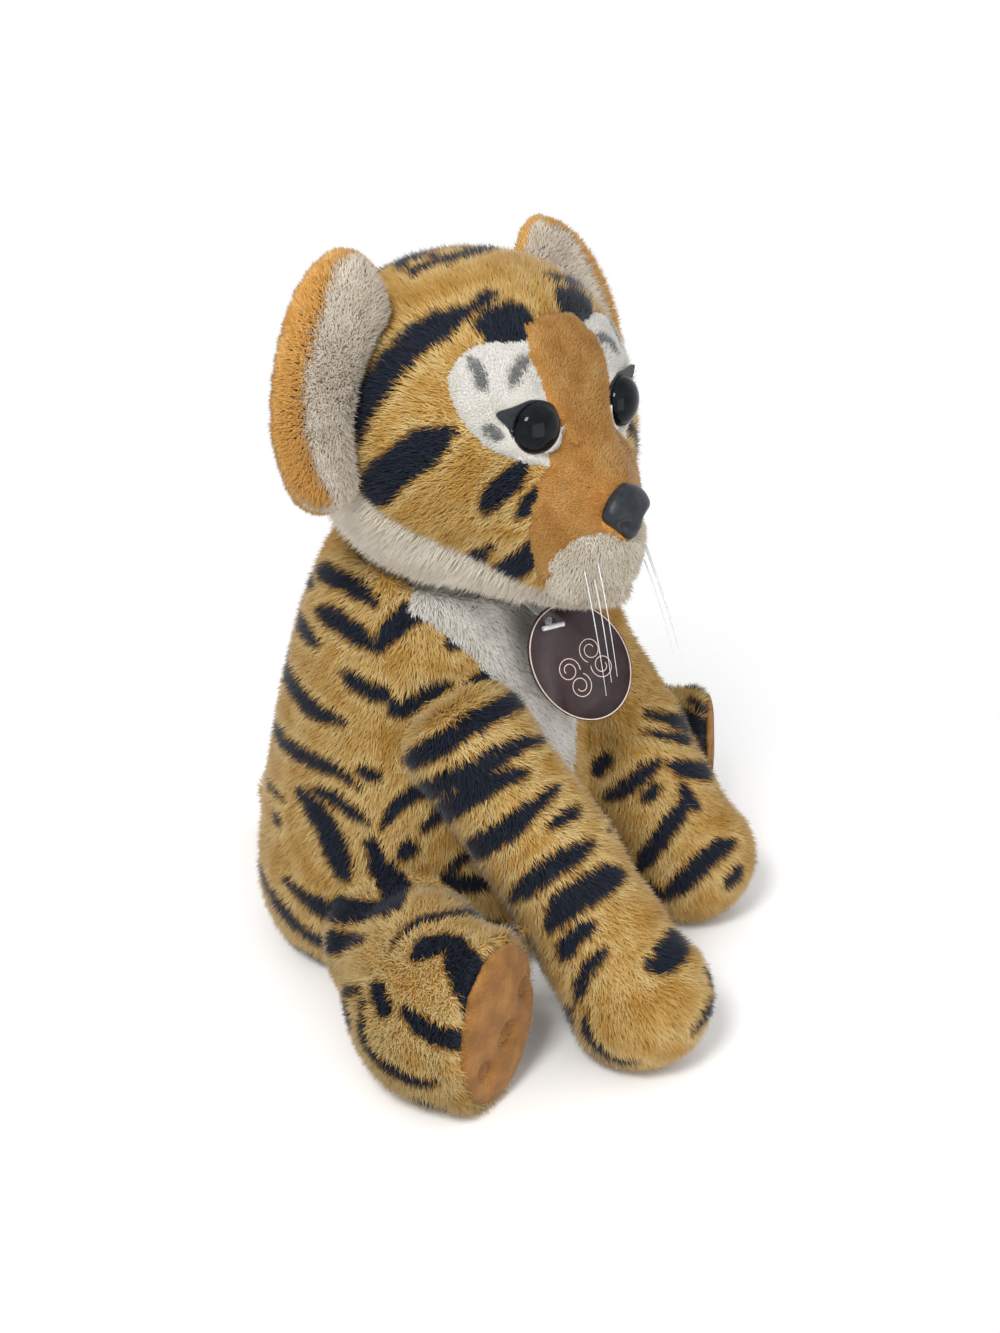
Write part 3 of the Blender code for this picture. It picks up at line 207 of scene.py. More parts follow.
def vertex_normals(mesh):
    normals = np.empty(len(mesh.vertices) * 3, np.float64)
    mesh.vertex_normals.foreach_get("vector", normals)
    return normals.reshape(-1, 3)


def unit(vectors):
    return vectors / np.maximum(np.linalg.norm(vectors, axis=-1, keepdims=True), 1e-9)


def smooth_step(values, low, high):
    share = np.clip((values - low) / (high - low), 0, 1)
    return share * share * (3 - 2 * share)


def write_attribute(mesh, name, values, kind="FLOAT"):
    """Keep a value or vector on each vertex, for the pile and the materials."""
    layer = mesh.attributes.get(name) or mesh.attributes.new(name, kind, "POINT")
    field = "vector" if kind == "FLOAT_VECTOR" else "value"
    layer.data.foreach_set(field, np.asarray(values, np.float32).ravel())


def read_attribute(mesh, name, width=1):
    layer = mesh.attributes[name]
    values = np.empty(len(layer.data) * width, np.float32)
    layer.data.foreach_get("vector" if width == 3 else "value", values)
    return values.reshape(-1, 3) if width == 3 else values


def place(name, mesh, material=None):
    item = bpy.data.objects.new(name, mesh)
    bpy.context.scene.collection.objects.link(item)
    if material:
        mesh.materials.clear()
        mesh.materials.append(material)
    return item


def from_bmesh(name, shape, material=None):
    mesh = bpy.data.meshes.new(name)
    shape.to_mesh(mesh)
    shape.free()
    mesh.shade_smooth()
    return place(name, mesh, material)


def frozen(item):
    """The item with its modifiers applied, as a new mesh on the same object."""
    graph = bpy.context.evaluated_depsgraph_get()
    mesh = bpy.data.meshes.new_from_object(
        item.evaluated_get(graph), preserve_all_data_layers=True, depsgraph=graph,
    )
    item.modifiers.clear()
    item.data = mesh
    return item


def point_tree(points):
    tree = KDTree(len(points))
    for index, point in enumerate(points):
        tree.insert(point, index)
    tree.balance()
    return tree


def edge_ends(mesh):
    ends = np.empty(len(mesh.edges) * 2, np.int64)
    mesh.edges.foreach_get("vertices", ends)
    return ends.reshape(-1, 2)


def joined(names):
    """A merged copy of some CAD nodes."""
    shape = bmesh.new()
    for name in names:
        shape.from_mesh(nodes[name].data)
    bmesh.ops.remove_doubles(shape, verts=shape.verts, dist=0.01 * MM)
    return shape


def shape_tree(shape):
    tree = BVHTree.FromBMesh(shape)
    shape.free()
    return tree


def node_tree(name):
    return shape_tree(joined([name]))


def mesh_tree(mesh):
    shape = bmesh.new()
    shape.from_mesh(mesh)
    return shape_tree(shape)


# Node helpers

def add_node(tree, kind, links=None, **settings):
    """Add one node with its settings, its input values and its links."""
    node = tree.nodes.new(kind)
    for name, value in settings.items():
        setattr(node, name, value)
    for key, value in (links or {}).items():
        socket = node.inputs[key]
        if isinstance(value, bpy.types.NodeSocket):
            tree.links.new(value, socket)
        else:
            socket.default_value = value
    return node


def maths(tree, operation, first, second):
    return add_node(tree, "ShaderNodeMath", {0: first, 1: second}, operation=operation).outputs[0]


def linear(code):
    """Linear colour from an sRGB hex code."""
    channels = [int(code[index:index + 2], 16) / 255 for index in (1, 3, 5)]
    values = [((c + 0.055) / 1.055) ** 2.4 if c > 0.04045 else c / 12.92 for c in channels]
    return (*values, 1.0)


def ramp(tree, factor, stops, interpolation="LINEAR"):
    """A colour ramp from (position, hex code) stops."""
    node = add_node(tree, "ShaderNodeValToRGB", {"Fac": factor})
    node.color_ramp.interpolation = interpolation
    elements = node.color_ramp.elements
    while len(elements) > 1:
        elements.remove(elements[-1])
    elements[0].position, elements[0].color = stops[0][0], linear(stops[0][1])
    for position, code in stops[1:]:
        elements.new(position).color = linear(code)
    return node.outputs["Color"]


def shader(name, roughness, **sockets):
    """A material with its Principled shader, and the tree to add a pattern to."""
    material = bpy.data.materials.new(name)
    material.use_nodes = True
    tree = material.node_tree
    principled = tree.nodes["Principled BSDF"]
    principled.inputs["Roughness"].default_value = roughness
    for key, value in sockets.items():
        principled.inputs[key.replace("_", " ")].default_value = value
    return material, tree, principled


def grain(tree, size, detail=3.0, roughness=0.5, vector=None):
    """Noise whose features are about one size across, on Object coordinates."""
    source = vector or add_node(tree, "ShaderNodeTexCoord").outputs["Object"]
    links = {"Vector": source, "Scale": 1 / size, "Detail": detail, "Roughness": roughness}
    return add_node(tree, "ShaderNodeTexNoise", links).outputs["Fac"]


def bump(tree, principled, height, depth, strength=1.0):
    node = add_node(tree, "ShaderNodeBump", {"Height": height, "Distance": depth, "Strength": strength})
    tree.links.new(node.outputs["Normal"], principled.inputs["Normal"])


# Materials

def pile_finish(name, coat, stripe=("#0D121D", "#2A3242")):
    """Cut polyester pile: dull, with a soft sheen at grazing angles, and painted shade that darkens each lock
    toward its root.

    The map runs root to tip along U and from the stripe's tones to the coat's along V.
    """
    material, tree, principled = shader(
        name, 0.82, Specular_IOR_Level=0.22, Sheen_Weight=0.18, Sheen_Roughness=0.45,
    )
    chart = add_node(tree, "ShaderNodeSeparateXYZ", {
        "Vector": add_node(tree, "ShaderNodeUVMap", uv_map="OFBake").outputs["UV"],
    })
    low, middle, high = coat
    tone = ramp(tree, chart.outputs["Y"], (
        (0.0, stripe[0]), (0.34, stripe[1]), (0.40, low), (0.70, middle), (1.0, high),
    ))
    # painted shade: each lock is darkened toward its root, where the pile shades itself
    depth = ramp(tree, chart.outputs["X"], ((0.0, "#B4B4B4"), (0.4, "#ECECEC"), (1.0, "#FFFFFF")))
    tree.links.new(mixed(tree, 1.0, tone, depth, "MULTIPLY"), principled.inputs["Base Color"])
    return material


def mixed(tree, factor, first, second, blend="MIX"):
    """A colour between two, each a socket or a hex code."""
    colours = [linear(value) if isinstance(value, str) else value for value in (first, second)]
    links = {0: factor, 6: colours[0], 7: colours[1]}
    return add_node(tree, "ShaderNodeMix", links, data_type="RGBA", blend_type=blend).outputs[2]


def backing_finish(name, dark, light, stripe="#151A26"):
    """Knitted backing at the foot of the pile: matt, in the pile's colours, darker in some finishes as
    painted shade for where it lies between the locks.
    """
    material, tree, principled = shader(name, 0.95, Specular_IOR_Level=0.15, Sheen_Weight=0.2)
    fibres = grain(tree, 0.5 * MM, 4.0, 0.6)
    coat = ramp(tree, fibres, ((0.3, dark), (0.7, light)))
    edge = add_node(tree, "ShaderNodeAttribute", attribute_name="stripe").outputs["Fac"]
    ragged = maths(tree, "SUBTRACT", grain(tree, 1.5 * MM), 0.5)
    moved = maths(tree, "ADD", edge, maths(tree, "MULTIPLY", ragged, 2.0))
    cover = add_node(tree, "ShaderNodeMapRange", {"Value": moved, "From Min": -0.4, "From Max": 0.4})
    colour = mixed(tree, cover.outputs["Result"], stripe, coat)
    tree.links.new(colour, principled.inputs["Base Color"])
    bump(tree, principled, fibres, 0.2 * MM)
    return material


def suede_finish():
    """Brushed synthetic suede: a short nap that lies in patches, no gloss, pale where it is rubbed, and
    painted shade that darkens the toe dents.
    """
    material, tree, principled = shader("brushed_suede", 0.92, Specular_IOR_Level=0.15, Sheen_Weight=0.12)
    nap = grain(tree, 0.45 * MM, 5.0, 0.65)
    patches = grain(tree, 7 * MM, 3.0)
    half = maths(tree, "MULTIPLY", maths(tree, "ADD", nap, patches), 0.5)
    colour = ramp(tree, half, ((0.30, "#664420"), (0.50, "#8C5F2D"), (0.70, "#AC7D42")))
    # painted shade: dark brown mixed in at the toe dents
    dent_shade = add_node(tree, "ShaderNodeAttribute", attribute_name="dent_shade").outputs["Fac"]
    tree.links.new(mixed(tree, dent_shade, colour, "#3E2812"), principled.inputs["Base Color"])
    bump(tree, principled, nap, 0.25 * MM)
    return material


def eye_finish():
    """Polished black acrylic: a clear hard gloss over a very dark ground, with hairline wear."""
    material, tree, principled = shader("polished_black_acrylic", 0.05, IOR=1.49, Specular_IOR_Level=0.14)
    colour = ramp(tree, grain(tree, 3 * MM), ((0.35, "#07090B"), (0.7, "#12181B")))
    tree.links.new(colour, principled.inputs["Base Color"])
    wear = add_node(tree, "ShaderNodeMapRange", {
        "Value": grain(tree, 0.6 * MM), "To Min": 0.03, "To Max": 0.09,
    })
    tree.links.new(wear.outputs["Result"], principled.inputs["Roughness"])
    return material


def moulded_finish(name, roughness, size, stops, relief, detail=3.0, **sockets):
    """A smooth dark part: a faint mottle, and a fine relief with its own size and depth."""
    material, tree, principled = shader(name, roughness, **sockets)
    tree.links.new(ramp(tree, grain(tree, size, detail), stops), principled.inputs["Base Color"])
    bump(tree, principled, grain(tree, relief[0], 2.0), relief[1])
    return material


def plain_finish(name, roughness, dark, light, size, depth, **sockets):
    """A part in one colour whose surface still varies: small mottle and a fine bump."""
    material, tree, principled = shader(name, roughness, **sockets)
    pattern = grain(tree, size, 3.0)
    tree.links.new(ramp(tree, pattern, ((0.3, dark), (0.7, light))), principled.inputs["Base Color"])
    bump(tree, principled, pattern, depth)
    return material


def make_finishes():
    return {
        "golden": pile_finish("golden_cut_pile", ("#986E30", "#CA9B4B", "#E6C98A")),
        "gold_short": pile_finish("brown_gold_velour_pile", ("#8F6229", "#B98643", "#D3A869")),
        "ear_gold": pile_finish("orange_velour_pile", ("#BC8036", "#E1A655", "#F1C482")),
        "cream": pile_finish("cream_cut_pile", ("#A89B85", "#D6C9B3", "#EDE3D2")),
        "white": pile_finish("white_velour_pile", ("#C4BFB4", "#DEDAD1", "#F0EDE6"), ("#5A5C5E", "#989895")),
        "ruff": pile_finish("long_pale_pile", ("#BFAE94", "#E6D8C0", "#FBF2E2")),
        "chest": pile_finish("white_chest_pile", ("#B5AEA3", "#DDD7CD", "#F4F0E9")),
        "lining": pile_finish("curly_grey_pile", ("#A99B87", "#D4C5B0", "#EEE2D0"), ("#C58A40", "#E8B364")),
        # the backings take the pile's colours; the cream and grey ones are darker, as painted shade between
        # the locks
        "golden_backing": backing_finish("golden_knit_backing", "#9A6F33", "#C4954C"),
        "gold_short_backing": backing_finish("orange_knit_backing", "#AC6F30", "#CC8D45"),
        "cream_backing": backing_finish("cream_knit_backing", "#857D6E", "#A89F8F"),
        "white_backing": backing_finish("white_knit_backing", "#C4BFB4", "#DAD6CC", "#77787A"),
        "grey_backing": backing_finish("grey_knit_backing", "#857B6B", "#A59A89"),
        "suede": suede_finish(),
        "eye": eye_finish(),
        "nose": moulded_finish(
            "satin_moulded_plastic", 0.38, 2.5 * MM, ((0.3, "#15181C"), (0.7, "#262A31")),
            (0.5 * MM, 0.05 * MM), IOR=1.5, Specular_IOR_Level=0.3,
        ),
        "liner": moulded_finish(
            "black_vinyl_sheet", 0.42, 1.2 * MM, ((0.3, "#14181C"), (0.75, "#262C33")),
            (0.4 * MM, 0.06 * MM), IOR=1.52, Specular_IOR_Level=0.25,
        ),
        "card": moulded_finish(
            "varnished_brown_card", 0.33, 4 * MM, ((0.3, "#2B1D20"), (0.75, "#3B2A2C")),
            (0.7 * MM, 0.02 * MM), 4.0, IOR=1.5, Specular_IOR_Level=0.3,
        ),
        "nylon": plain_finish(
            "drawn_nylon", 0.25, "#D9DADB", "#F3F4F4", 2 * MM, 0.01 * MM, Transmission_Weight=0.3, IOR=1.53,
        ),
        "washer": plain_finish(
            "moulded_white_polythene", 0.45, "#D8D6D0", "#E9E7E2", 3 * MM, 0.02 * MM, IOR=1.51,
        ),
        "fill": plain_finish("polyester_fibre_fill", 0.95, "#D2D0CB", "#EFEEEB", 0.8 * MM, 0.4 * MM),
        "neck": plain_finish(
            "cream_knit_neckband", 0.95, "#94887A", "#BFB39C", 0.5 * MM, 0.2 * MM, Sheen_Weight=0.2,
        ),
        "border": plain_finish("pale_printed_border", 0.4, "#C6AFA6", "#DCC9C0", 1.5 * MM, 0.01 * MM),
    }


# The camera's rays and other ways to place a stroke

def camera_axes():
    level = math.cos(ELEVATION)
    back = Vector((math.sin(AZIMUTH) * level, -math.cos(AZIMUTH) * level, math.sin(ELEVATION)))
    right = Vector((math.cos(AZIMUTH), math.sin(AZIMUTH), 0))
    return right, back.cross(right), back


RIGHT, UP, BACK = camera_axes()
EYE_POINT = TARGET + BACK * DISTANCE
FOCAL_PIXELS = PIXELS_PER_MM * DISTANCE / MM


def pixel_ray(pixel):
    """The direction from the camera through a pixel of the photograph."""
    across = (pixel[0] - PHOTO_WIDTH / 2) / FOCAL_PIXELS
    down = (pixel[1] - PHOTO_HEIGHT / 2) / FOCAL_PIXELS
    return (RIGHT * across - UP * down - BACK).normalized()


def cast(tree, origin, direction):
    """Where a ray meets the cloth, or the nearest cloth to a ray that just misses it."""
    hit = tree.ray_cast(origin, direction)[0]
    if hit is not None:
        return hit
    best, best_gap = None, 1.0
    for step in range(NEAR_MISS_STEPS):
        near, _, _, gap = tree.find_nearest(origin + direction * (NEAR_MISS_FROM + NEAR_MISS_STEP * step))
        if gap < best_gap:
            best, best_gap = near, gap
    return best


def head_axes():
    return Matrix.Rotation(HEAD_TURN, 3, "Z") @ Matrix.Rotation(HEAD_TILT, 3, "Y")


def mirrored(point, centre, normal):
    return point - normal * 2 * (point - centre).dot(normal)


def seen(tree, point, normal):
    """True where the camera sees a point of the cloth."""
    ray = EYE_POINT - point
    if normal.dot(ray) <= 0:
        return False
    return tree.ray_cast(point + ray.normalized() * 2 * MM, ray.normalized())[0] is None


def curve_points(points, step):
    """Evenly spaced points on a smooth curve through given ones."""
    points = [Vector(point) for point in points]
    made = []
    for index in range(len(points) - 1):
        before, start = points[max(index - 1, 0)], points[index]
        end, after = points[index + 1], points[min(index + 2, len(points) - 1)]
        count = max(int((end - start).length / step), 1)
        for part in range(count):
            t = part / count
            made.append(
                start * (2 * t**3 - 3 * t**2 + 1) + (end - before) / 2 * (t**3 - 2 * t**2 + t)
                + end * (3 * t**2 - 2 * t**3) + (after - start) / 2 * (t**3 - t**2)
            )
    return made + [points[-1]]


# Stripes: each is a width in mm and the places it passes, in pixels of the photograph
HEAD_STROKES = (
    (6.6, ((368, 440), (371, 410), (384, 386), (402, 363), (424, 342), (448, 327), (478, 314))),
    (8.4, ((486, 328), (506, 327), (527, 325))),
    (3.0, ((478, 316), (488, 304), (498, 300))),
    (7.4, ((374, 503), (387, 481), (408, 462), (432, 446), (455, 433))),
    (4.6, ((525, 464), (513, 480), (498, 493), (488, 509))),
    (3.4, ((563, 474), (549, 489), (534, 501), (521, 516))),
    (3.6, ((495, 542), (482, 553), (464, 568))),
    (5.0, ((540, 542), (527, 557), (512, 568), (503, 577))),
    (4.2, ((406, 276), (416, 259), (436, 249), (458, 245), (476, 248))),
    (3.8, ((451, 270), (468, 262), (488, 257), (510, 255))),
)
PATCH_STROKES = (
    (2.6, ((471, 360), (480, 374), (484, 391))),
    (2.6, ((528, 358), (518, 372), (511, 388))),
    (2.4, ((486, 428), (502, 438))),
)
SIDE_STROKES = (
    (4.0, ((326, 566), (348, 578), (368, 590), (380, 602))),
    (4.4, ((324, 606), (346, 619), (366, 634), (380, 647))),
    (5.0, ((381, 645), (391, 628), (408, 613), (434, 604), (452, 603))),
    (4.6, ((446, 642), (462, 632), (476, 614))),
    (4.0, ((346, 668), (362, 679), (380, 688), (394, 694))),
    (2.2, ((394, 692), (396, 702), (393, 710))),
    (3.8, ((393, 710), (412, 700), (432, 688), (450, 680))),
    (3.8, ((466, 686), (484, 677), (503, 664))),
    (4.2, ((406, 758), (424, 750), (446, 738), (470, 722), (494, 709), (517, 697))),
    (4.2, ((383, 824), (396, 804), (411, 791), (436, 780), (462, 769), (486, 758), (510, 744), (535, 738))),
    (5.0, ((423, 824), (442, 808), (462, 794), (484, 782), (508, 773), (524, 771))),
    (4.8, ((447, 868), (462, 852), (484, 838), (510, 822), (531, 804), (552, 785))),
    (4.6, ((442, 870), (462, 878), (488, 877))),
    (2.8, ((545, 826), (559, 816), (575, 806))),
    (4.6, ((513, 893), (531, 877), (552, 862), (574, 849), (587, 839))),
    (6.4, ((549, 922), (560, 904), (580, 889), (600, 877), (617, 871))),
    (4.0, ((404, 850), (413, 838))),
    (6.0, ((370, 836), (380, 855), (388, 874), (395, 892), (398, 914))),
    (6.6, ((304, 787), (320, 804), (333, 826), (341, 850), (349, 874))),
    (3.0, ((316, 783), (338, 793), (356, 806), (370, 818))),
    (3.0, ((362, 764), (381, 774))),
    (2.8, ((281, 810), (287, 819))),
    (5.4, ((290, 874), (304, 887), (324, 902), (350, 912), (376, 914), (394, 917))),
    (3.2, ((286, 934), (299, 948), (313, 963))),
    (3.6, ((332, 1003), (345, 1013), (357, 1019))),
    (2.4, ((350, 991), (367, 988))),
)
# These reach the back and run over the spine to the other side
SPINE_STROKES = (
    (3.0, ((314, 570), (322, 583))),
    (3.6, ((303, 604), (311, 624), (326, 643))),
    (4.8, ((289, 648), (298, 677), (314, 700), (334, 712), (350, 718))),
    (3.8, ((279, 712), (290, 736), (312, 752), (336, 763), (352, 774), (363, 783))),
    (3.2, ((265, 766), (278, 782), (292, 797))),
    (4.6, ((266, 858), (275, 884), (290, 907), (312, 928), (340, 942), (370, 942))),
)
LEG_STROKES = (
    (4.6, ((394, 950), (404, 934), (422, 923), (446, 918), (470, 919), (492, 925), (510, 936), (522, 952))),
    (5.0, ((414, 958), (430, 947), (450, 946), (466, 954))),
    (7.0, ((450, 956), (464, 966), (470, 982), (462, 998))),
    (4.2, ((403, 1007), (418, 1022), (438, 1034), (458, 1039), (468, 1036))),
    (3.2, ((366, 996), (366, 1030), (378, 1054), (396, 1068), (418, 1078), (440, 1078))),
    (4.6, ((377, 984), (383, 1000), (388, 1013))),
    (2.8, ((404, 1104), (424, 1110), (444, 1108))),
)
PAW_STROKES = (
    (4.0, ((560, 954), (573, 933), (591, 919))),
    (3.0, ((578, 996), (582, 973), (592, 957), (605, 945))),
    (3.6, ((567, 1030), (569, 1013), (574, 999))),
    (3.0, ((588, 1005), (588, 1024), (598, 1042), (616, 1053), (638, 1056))),
    (6.6, ((677, 928), (668, 944), (660, 958), (657, 969))),
    (3.4, ((643, 960), (657, 967))),
    (4.2, ((705, 966), (708, 985), (700, 1010), (687, 1027))),
)
FAR_STROKES = (
    (3.6, ((594, 770), (601, 758), (611, 750))),
    (4.0, ((604, 793), (620, 785), (640, 770), (657, 758))),
    (2.8, ((641, 796), (657, 781))),
    (3.4, ((600, 830), (612, 822))),
    (4.2, ((636, 868), (650, 847), (664, 826), (676, 808), (686, 790))),
    (3.0, ((676, 780), (684, 796), (694, 806))),
    (4.6, ((664, 893), (684, 874), (701, 858), (716, 846), (731, 840))),
    (4.0, ((722, 880), (737, 865))),
    (4.0, ((648, 880), (662, 891))),
    (5.2, ((642, 711), (662, 717), (686, 724), (706, 738), (717, 755))),
    (2.6, ((638, 729), (662, 733), (690, 739))),
    (4.4, ((666, 761), (688, 768), (710, 771))),
    (2.2, ((684, 703), (706, 713))),
)
# The orange rim that shows in front of each ear's lining
EAR_RIM_STROKES = (
    (9.0, (
        (352, 246), (318, 247), (292, 262), (279, 290), (274, 320), (271, 350), (272, 400), (286, 446),
        (305, 480), (325, 500),
    )),
)
# Stripes on the back of the head: degrees round from the nose and up, in the head's own axes
NAPE_STROKES = (
    (5.0, ((180, 62), (158, 54), (138, 40), (122, 22))),
    (5.0, ((180, 36), (160, 30), (142, 16), (132, -2))),
    (4.6, ((180, 12), (162, 6), (148, -8), (142, -24))),
    (4.0, ((180, -12), (166, -16), (154, -28))),
)
TAIL_RADIUS = 79 * MM
TAIL_BANDS = (58, 46, 34, 23)  # degrees from the X axis, on the tail's curve
TAIL_BAND_WIDTH = 6.5


def add_stroke(samples, line, width):
    """Samples of a stroke on the cloth, thinner toward both ends."""
    line = [point for point in line if point is not None]
    if len(line) < 2:
        return
    lengths = [0.0]
    for before, after in zip(line, line[1:]):
        lengths.append(lengths[-1] + (after - before).length)
    total = max(lengths[-1], MM)
    for index, (before, after) in enumerate(zip(line, line[1:])):
        gap = (after - before).length
        if gap > STROKE_GAP:
            continue
        for part in range(max(int(gap / STROKE_STEP), 1)):
            share = (lengths[index] + part * STROKE_STEP) / total
            taper = min(1.0, STROKE_LEAST + STROKE_TAPER * min(share, 1 - share))
            place_at = before.lerp(after, part * STROKE_STEP / max(gap, MM / 10))
            samples.append((place_at, width * MM / 2 * taper * STROKE_FULLNESS))


def photo_line(tree, places):
    pixels = curve_points([(x, y, 0) for x, y in places], 3)
    return [cast(tree, EYE_POINT, pixel_ray(pixel)) for pixel in pixels]


def mirrored_line(tree, line, centre, normal, hidden_only):
    made = []
    for point in line:
        near, facing, _, _ = tree.find_nearest(mirrored(point, centre, normal))
        made.append(None if hidden_only and seen(tree, near, facing) else near)
    return made


def both_sides(samples, tree, line, width, centre, normal, hidden_only=False):
    """Samples of a stroke and of its mirror image on the other side."""
    add_stroke(samples, line, width)
    add_stroke(samples, mirrored_line(tree, line, centre, normal, hidden_only), width)


def body_strokes(tree):
    samples = []
    across = Vector((1, 0, 0))
    for group in (SIDE_STROKES, SPINE_STROKES, LEG_STROKES, PAW_STROKES):
        for width, places in group:
            line = photo_line(tree, places)
            both_sides(samples, tree, line, width, Vector(), across, True)
            if group is SPINE_STROKES:
                start = line[0]
                end = mirrored(start, Vector(), across)
                over = [tree.find_nearest(start.lerp(end, share / 12))[0] for share in range(13)]
                add_stroke(samples, over, width * 1.15)
    for width, places in FAR_STROKES:
        add_stroke(samples, photo_line(tree, places), width)
    for degrees in TAIL_BANDS:
        turn = math.radians(degrees)
        line = []
        for reach in range(-12, 13, 3):
            radius = TAIL_RADIUS + reach * MM
            above = Vector((radius * math.cos(turn), radius * math.sin(turn), 60 * MM))
            line.append(tree.ray_cast(above, Vector((0, 0, -1)))[0])
        add_stroke(samples, line, TAIL_BAND_WIDTH)
    return samples


def head_strokes(tree):
    samples = []
    turn = head_axes()
    across = turn @ Vector((1, 0, 0))
    for width, places in HEAD_STROKES:
        both_sides(samples, tree, photo_line(tree, places), width, HEAD_CENTRE, across)
    for width, places in NAPE_STROKES:
        line = []
        for azimuth, rise in [tuple(point)[:2] for point in curve_points([(a, r, 0) for a, r in places], 3)]:
            a, r = math.radians(azimuth), math.radians(rise)
            way = turn @ Vector((-math.sin(a) * math.cos(r), -math.cos(a) * math.cos(r), math.sin(r)))
            line.append(tree.ray_cast(HEAD_CENTRE, way)[0])
        both_sides(samples, tree, line, width, HEAD_CENTRE, across)
    return samples


def ear_rim(cloth, right_ear, letter):
    """Strokes along the rim of an ear's lining; the left ear mirrors the right one."""
    samples = []
    tree = mesh_tree(cloth.data)
    across = head_axes() @ Vector((1, 0, 0))
    for width, places in EAR_RIM_STROKES:
        line = photo_line(right_ear, places)
        if letter == "L":
            line = mirrored_line(tree, line, HEAD_CENTRE, across, False)
        add_stroke(samples, line, width)
    return samples


def patch_strokes(tree):
    samples = []
    across = head_axes() @ Vector((1, 0, 0))
    for width, places in PATCH_STROKES:
        both_sides(samples, tree, photo_line(tree, places), width, HEAD_CENTRE, across)
    return samples


def stripe_distance(places, samples):
    """Distance from each place to the edge of the nearest stripe, in mm, negative inside it."""
    tree = point_tree([point for point, _ in samples])
    found = [min(gap - samples[index][1] for _, index, gap in tree.find_n(spot, 5)) for spot in places]
    return np.array(found) / MM


# Cloth: one skin for the body and one for the head, parted along the sewn panels

def remeshed(name, node_names, voxel, rounds, plugs=()):
    """One closed skin round some CAD nodes: voxel remesh, then a few rounds of smoothing.

    Plugs are balls, each a middle and a radius, that close the hollows behind the face's fittings.
    """
    shape = joined(node_names)
    for middle, radius in plugs:
        bmesh.ops.create_icosphere(shape, subdivisions=3, radius=radius, matrix=Matrix.Translation(middle))
    item = from_bmesh(name, shape)
    remesh = item.modifiers.new("remesh", "REMESH")
    remesh.mode = "VOXEL"
    remesh.voxel_size = voxel
    frozen(item)
    shape = bmesh.new()
    shape.from_mesh(item.data)
    keep_outer(shape)
    for _ in range(rounds):
        bmesh.ops.smooth_vert(
            shape, verts=shape.verts, factor=0.5, use_axis_x=True, use_axis_y=True, use_axis_z=True,
        )
    bmesh.ops.recalc_face_normals(shape, faces=shape.faces)
    shape.to_mesh(item.data)
    shape.free()
    return item


def keep_outer(shape):
    """Drop every closed shell but the largest, such as the inner face of a wall."""
    left = set(shape.verts)
    shells = []
    while left:
        stack = [left.pop()]
        shell = list(stack)
        while stack:
            for edge in stack.pop().link_edges:
                for vert in edge.verts:
                    if vert in left:
                        left.remove(vert)
                        stack.append(vert)
                        shell.append(vert)
        shells.append(shell)
    sizes = [
        sum(max(vert.co[axis] for vert in shell) - min(vert.co[axis] for vert in shell) for axis in range(3))
        for shell in shells
    ]
    for shell, size in zip(shells, sizes):
        if size < max(sizes):
            bmesh.ops.delete(shape, geom=shell, context="VERTS")


def puffed(item):
    """Let the stuffing press the cloth out: a short cloth simulation, with its movement capped."""
    before = coordinates(item.data)
    scene = bpy.context.scene
    cloth = item.modifiers.new("cloth", "CLOTH")
    cloth.settings.effector_weights.gravity = 0
    cloth.settings.use_pressure = True
    cloth.settings.uniform_pressure_force = STUFFING_PRESSURE
    cloth.settings.quality = 3
    cloth.collision_settings.use_collision = False
    cloth.point_cache.frame_start = 1
    cloth.point_cache.frame_end = PUFF_FRAMES
    for number in range(1, PUFF_FRAMES + 1):
        scene.frame_set(number)
    frozen(item)
    scene.frame_set(1)
    move = coordinates(item.data) - before
    length = np.linalg.norm(move, axis=1, keepdims=True)
    move *= np.minimum(1, PUFF_CAP / np.maximum(length, 1e-9))
    set_coordinates(item.data, before + move, before[:, 2].min())


def subdivided(item):
    smooth = item.modifiers.new("smooth", "SUBSURF")
    smooth.levels = 1
    smooth.render_levels = 1
    return frozen(item)


def nearest_panels(places, names):
    """For each place, the index of the nearest of some CAD nodes."""
    trees = [node_tree(name) for name in names]
    boxes = [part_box(name) for name in names]
    lows = np.array([tuple(box[0]) for box in boxes])
    highs = np.array([tuple(box[1]) for box in boxes])
    chosen = np.zeros(len(places), int)
    for index, spot in enumerate(places):
        outside = np.linalg.norm(np.maximum(np.maximum(lows - spot, spot - highs), 0), axis=1)
        best = 1.0
        for number in np.argsort(outside):
            if outside[number] >= best:
                break
            gap = trees[number].find_nearest(spot)[3]
            if gap < best:
                best, chosen[index] = gap, number
    return chosen


def seam_distance(mesh, panel):
    """Distance of each vertex from the nearest seam between two panels."""
    edges = edge_ends(mesh)
    places = coordinates(mesh)
    crossing = edges[panel[edges[:, 0]] != panel[edges[:, 1]]]
    middles = (places[crossing[:, 0]] + places[crossing[:, 1]]) / 2
    if not len(middles):
        return np.full(len(places), 1.0)
    tree = point_tree(middles)
    return np.array([tree.find(spot)[2] for spot in places])


def parted(item, panel, names, finishes):
    """Split a skin into one cloth panel per CAD node, each with its own finish."""
    pieces = {}
    mesh = item.data
    write_attribute(mesh, "panel", panel.astype(float))
    for number, name in enumerate(names):
        shape = bmesh.new()
        shape.from_mesh(mesh)
        layer = shape.verts.layers.float["panel"]
        away = [
            face for face in shape.faces
            if sorted(vert[layer] for vert in face.verts)[len(face.verts) // 2] != number
        ]
        bmesh.ops.delete(shape, geom=away, context="FACES")
        pieces[name] = from_bmesh(name + "_cloth", shape, finishes[name])
    bpy.data.objects.remove(item)
    return pieces


